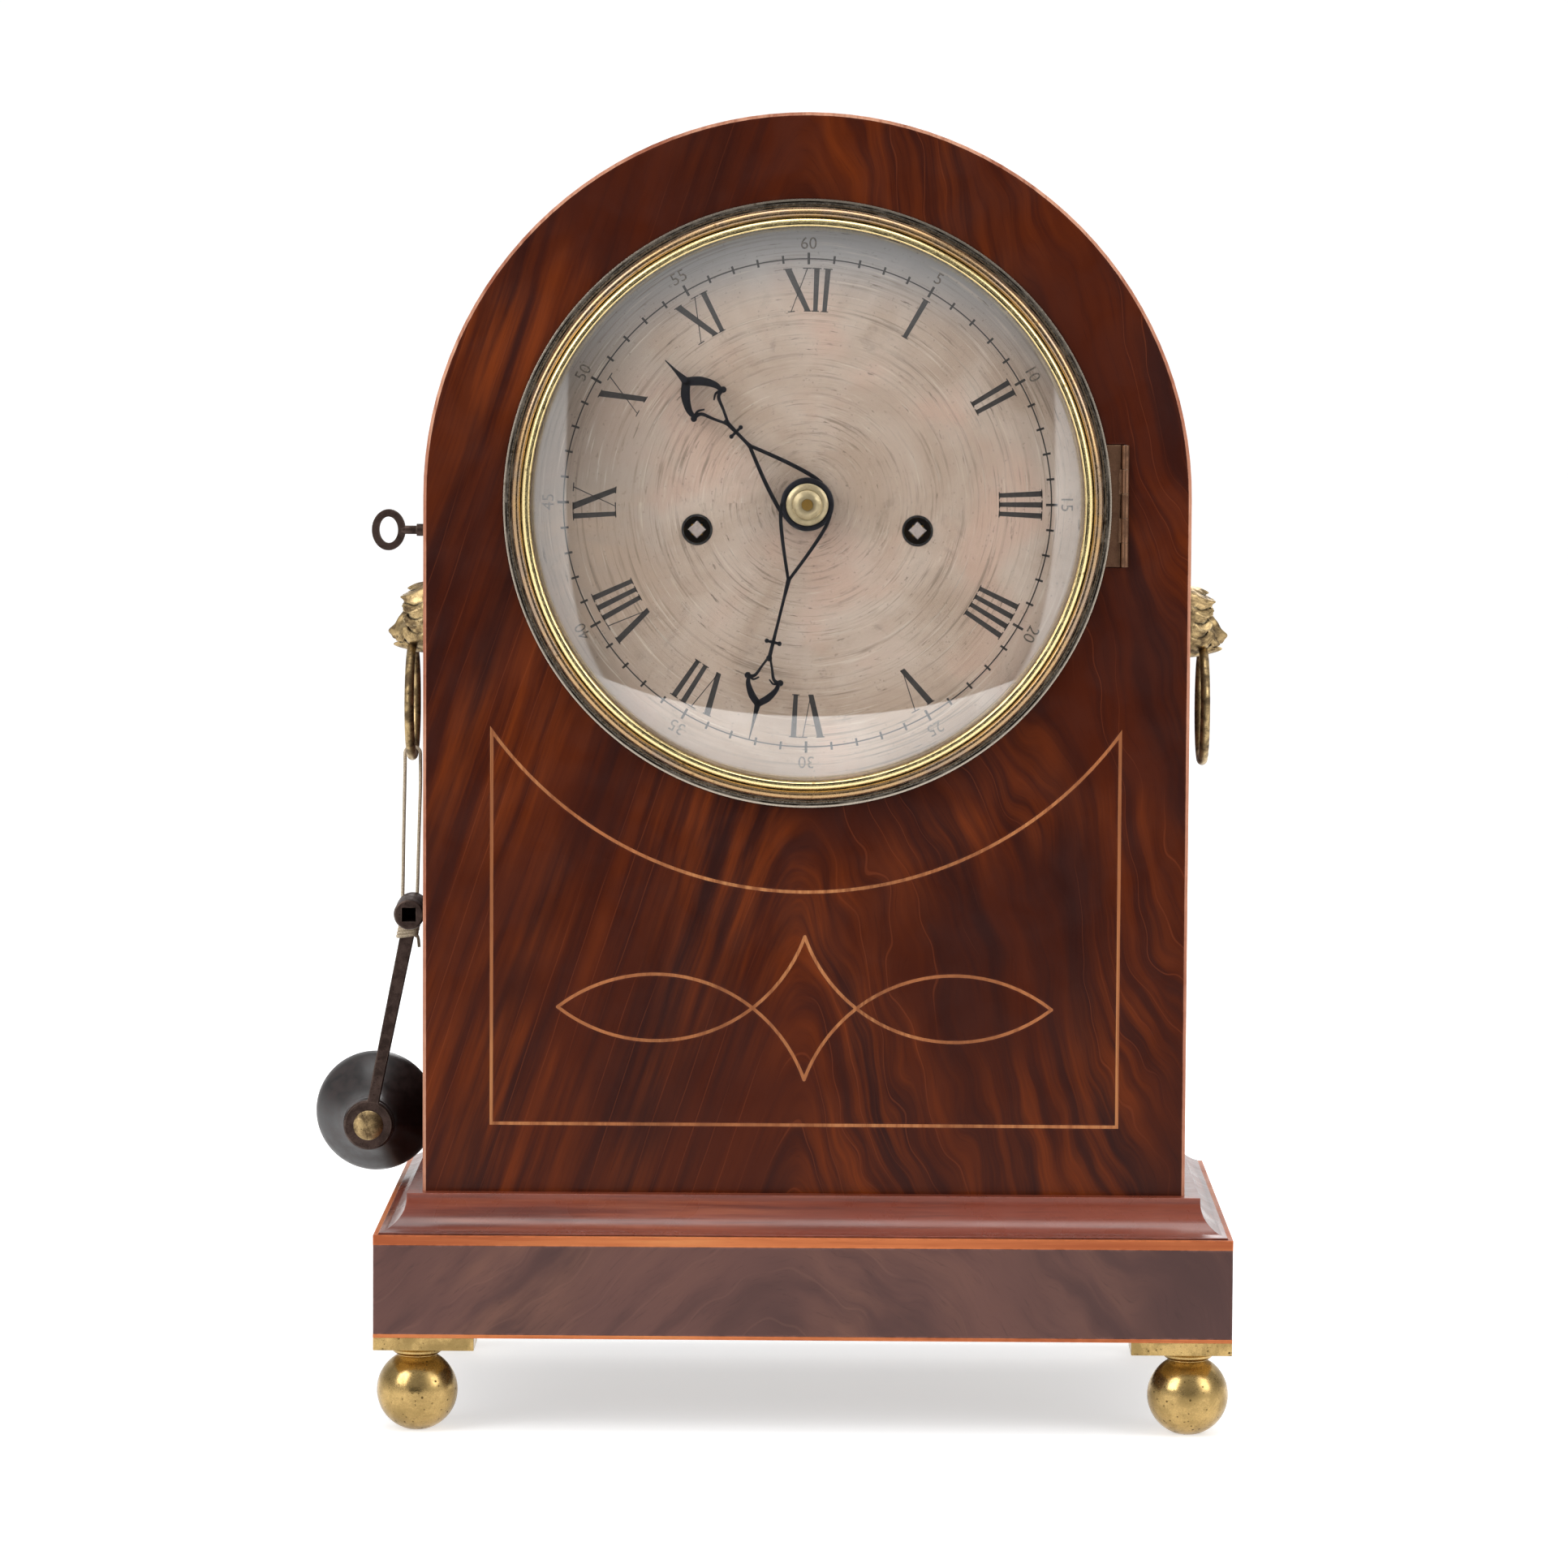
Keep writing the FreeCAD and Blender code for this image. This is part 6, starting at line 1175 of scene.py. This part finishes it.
def build_stage():
    """A pale floor that curves up into a backdrop, soft lamps, an even sky and the camera."""
    scene = bpy.context.scene
    scene.view_settings.view_transform = "Standard"
    build_floor(scene)
    build_lamps(scene)
    build_sky(scene)
    build_camera(scene)


def build_floor(scene):
    """A sheet that runs back and bends up by a quarter circle; its front edge is a parabola.

    Seen by the camera, in glass or through it, it is brighter than the light it gives."""
    across = np.linspace(-1, 1, 49) ** 3 * 6
    bend = np.linspace(0, math.pi / 2, 16)
    run = np.concatenate([[-0.8, -0.3, 0], 3.0 + 1.2 * np.sin(bend), [4.2]])
    rise = np.concatenate([[0, 0, 0], 1.2 - 1.2 * np.cos(bend), [6.0]])
    sheet = np.stack(np.broadcast_arrays(across[None], run[:, None], rise[:, None]), -1).copy()
    sheet[0, :, 1] = -np.minimum(0.72 + 1.3 * across ** 2, 3.0)
    mesh = bpy.data.meshes.new("floor")
    mesh.from_pydata(sheet.reshape(-1, 3).tolist(), [], grid_faces(*sheet.shape[:2]).tolist())
    mesh.shade_smooth()
    floor = bpy.data.objects.new("floor", mesh)
    scene.collection.objects.link(floor)
    made = bpy.data.materials.new("Pale floor")
    made.use_nodes = True
    tree = made.node_tree
    shader = tree.nodes["Principled BSDF"]
    shader.inputs["Base Color"].default_value = (*FLOOR_GREY, 1)
    shader.inputs["Roughness"].default_value = 0.6
    shader.inputs["Specular IOR Level"].default_value = 0.2
    path = node(tree, "LightPath").outputs
    seen = sums(tree, "MAXIMUM", path["Is Camera Ray"],
                sums(tree, "MAXIMUM", path["Is Glossy Ray"], path["Is Transmission Ray"]))
    white = node(tree, "Emission", {"Color": (1, 1, 1, 1),
                                    "Strength": times(tree, seen, 0.55)}).outputs[0]
    both = node(tree, "AddShader", {0: shader.outputs[0], 1: white}).outputs[0]
    tree.links.new(both, tree.nodes["Material Output"].inputs["Surface"])
    mesh.materials.append(made)


def build_lamps(scene):
    """Four soft lamps round the clock, aimed at its middle: name, place, size and watts."""
    aim = Vector((0, 0, 0.2))
    for name, at, size_m, power in (("lamp_left", (-1.7, -1.5, 1.6), (1.3, 1.7), 34),
                                    ("lamp_right", (1.9, -1.3, 1.4), (1.2, 1.7), 26),
                                    ("lamp_top", (0.0, -0.2, 2.3), (1.8, 1.6), 30),
                                    ("lamp_back", (0.6, 2.2, 1.7), (1.6, 1.0), 18)):
        data = bpy.data.lights.new(name, "AREA")
        data.shape, data.size, data.size_y, data.energy = "RECTANGLE", *size_m, power
        lamp = bpy.data.objects.new(name, data)
        lamp.location = at
        lamp.rotation_euler = (aim - Vector(at)).to_track_quat("-Z", "Y").to_euler()
        scene.collection.objects.link(lamp)


def build_sky(scene):
    """White to the camera and grey as light; mirrored, bright round an oval dark opening ahead."""
    sky = bpy.data.worlds.new("Even sky")
    scene.world = sky
    sky.use_nodes = True
    tree = sky.node_tree
    back = tree.nodes["Background"]
    path = node(tree, "LightPath").outputs
    aimed = node(tree, "TexCoord").outputs["Generated"]
    ahead = node(tree, "SeparateXYZ", {0: aimed}).outputs
    beside = sums(tree, "ABSOLUTE", sums(tree, "ARCTAN2", ahead[0], times(tree, ahead[1], -1.0)))
    wide = sums(tree, "POWER", sums(tree, "DIVIDE", beside, OPENING_WIDE), 4.5)
    low = times(tree, sums(tree, "MINIMUM", ahead[2], 0.0), -1.0 / OPENING_LOW)
    oval = sums(tree, "ADD", wide, sums(tree, "POWER", low, 3.0))
    open_side = spread(tree, oval, 0.97, 1.06)
    wall = times(tree, open_side, spread(tree, ahead[2], 0.20, 0.08, 0.42, 1.0))
    ceiling = spread(tree, ahead[2], 0.10, 0.36, 0.03, 0.42)
    dim = sums(tree, "MAXIMUM", wall, ceiling)
    glossy = blend(tree, path["Is Glossy Ray"], FLOOR_GREY, dim)
    shown = blend(tree, path["Is Camera Ray"], glossy, (1, 1, 1))
    tree.links.new(shown, back.inputs["Color"])
    back.inputs["Strength"].default_value = 1.0


def build_camera(scene):
    """A long lens a little above the dial, turned and tilted as the photograph is."""
    yaw, pitch, roll = (math.radians(a) for a in (0.468, 4.853, 0.314))
    ahead = Vector((-math.sin(yaw) * math.cos(pitch), math.cos(yaw) * math.cos(pitch),
                    -math.sin(pitch)))
    right = Vector((math.cos(yaw), math.sin(yaw), 0))
    above = right.cross(ahead)
    right2 = right * math.cos(roll) + above * math.sin(roll)
    above2 = above * math.cos(roll) - right * math.sin(roll)
    data = bpy.data.cameras.new("view")
    data.lens, data.sensor_width, data.sensor_height = 149.24, 36.0, 36.0
    data.sensor_fit = "HORIZONTAL"
    data.clip_end = 50
    camera = bpy.data.objects.new("view", data)
    turn = Matrix((right2, above2, -ahead)).transposed().to_4x4()
    camera.matrix_world = Matrix.Translation(Vector((10.2, -2194.7, 393.2)) * MM) @ turn
    scene.collection.objects.link(camera)
    scene.camera = camera


# ---------------------------------------------------------------- settings, operators, panel
def length_setting(name, description, millimetres):
    """A length property with its default in millimetres."""
    return FloatProperty(name=name, description=description, unit="LENGTH", subtype="DISTANCE",
                         min=0, precision=4, default=millimetres * MM)


def colour_setting(name, description, code):
    """A colour property with its default from a web colour."""
    return FloatVectorProperty(name=name, description=description, subtype="COLOR", size=3,
                               min=0, max=1, default=linear(code))


class ClockSizes(bpy.types.PropertyGroup):
    """Sizes of the fine pieces that a user would change."""
    twine: length_setting("Twine", "Diameter of the twine", 1.2)
    ball: length_setting("Ball feet", "Radius of the ball feet", 13.3)
    glass_rise: length_setting("Glass rise", "How far the dial glass is domed", 8.6)
    glass_thick: length_setting("Glass thickness", "Thickness of the dial glass", 1.6)
    numeral_foot: length_setting("Numeral foot", "Radius at the foot of the numerals", 62.5)
    numeral_head: length_setting("Numeral head", "Radius at the head of the numerals", 76.7)
    digit: length_setting("Digit height", "Height of the minute digits", 3.9)
    hand: length_setting("Hand thickness", "Thickness of the hands", 1.2)
    mask: length_setting("Lion mask", "Radius of the lion masks", 12.2)
    wire: length_setting("Ring wire", "Diameter of the ring handles' wire", 3.4)


class ClockFinishes(bpy.types.PropertyGroup):
    """Colours that a user would change."""
    wood_dark: colour_setting("Dark figure", "Darkest stripe of the mahogany", "#2b110d")
    wood_mid: colour_setting("Mahogany", "Ground colour of the mahogany", "#441808")
    wood_bright: colour_setting("Bright figure", "Brightest vein of the mahogany", "#72300b")
    brass: colour_setting("Brass", "Polished brass of feet and plates", "#c4a56c")


def make_operator(idname, label, words, job):
    """An operator class that runs one build function."""
    def execute(self, context):
        job()
        return {"FINISHED"}

    name = "CLOCK_OT_" + idname
    return type(name, (bpy.types.Operator,), {"__doc__": words, "bl_idname": "clock." + idname,
                                              "bl_label": label, "execute": execute})


OPERATORS = [make_operator(*row) for row in (
    ("stage", "Stage", "Build floor, lamps and camera", build_stage),
    ("twine", "Twine", "Build the twine and its knot", build_twine),
    ("crank", "Crank", "Build the winding crank", build_crank),
    ("case", "Case", "Finish the woodwork", build_case),
    ("feet", "Feet", "Build the ball feet", build_feet),
    ("bezel", "Bezel", "Build bezel and glass", build_bezel),
    ("dial", "Dial", "Build the dial and its figures", build_dial),
    ("squares", "Squares", "Build the winding squares", build_squares),
    ("hands", "Hands", "Build the hands and collet", build_hands),
    ("masks", "Masks", "Build masks, rings and key", build_masks),
    ("door", "Back door", "Finish the back door", build_door),
    ("movement", "Movement", "Finish the movement", build_movement),
)]


class CLOCK_PT_build(bpy.types.Panel):
    """Lists the clock's settings and build steps."""
    bl_label = "Bracket Clock"
    bl_space_type = "VIEW_3D"
    bl_region_type = "UI"
    bl_category = "Clock"

    def draw(self, context):
        scene = context.scene
        for group in (scene.clock_sizes, scene.clock_finishes):
            for name in type(group).__annotations__:
                self.layout.prop(group, name)
        for operator in OPERATORS:
            self.layout.operator(operator.bl_idname)


CLASSES = [ClockSizes, ClockFinishes, *OPERATORS, CLOCK_PT_build]


def register():
    for cls in CLASSES:
        bpy.utils.register_class(cls)
    bpy.types.Scene.clock_sizes = PointerProperty(type=ClockSizes)
    bpy.types.Scene.clock_finishes = PointerProperty(type=ClockFinishes)


def unregister():
    del bpy.types.Scene.clock_finishes
    del bpy.types.Scene.clock_sizes
    for cls in reversed(CLASSES):
        bpy.utils.unregister_class(cls)


def main():
    """Registers the add-on, builds every piece in order and writes both boxes."""
    register()
    for operator in OPERATORS:
        getattr(bpy.ops.clock, operator.bl_idname.split(".")[1])()


if __name__ == "__main__":
    main()
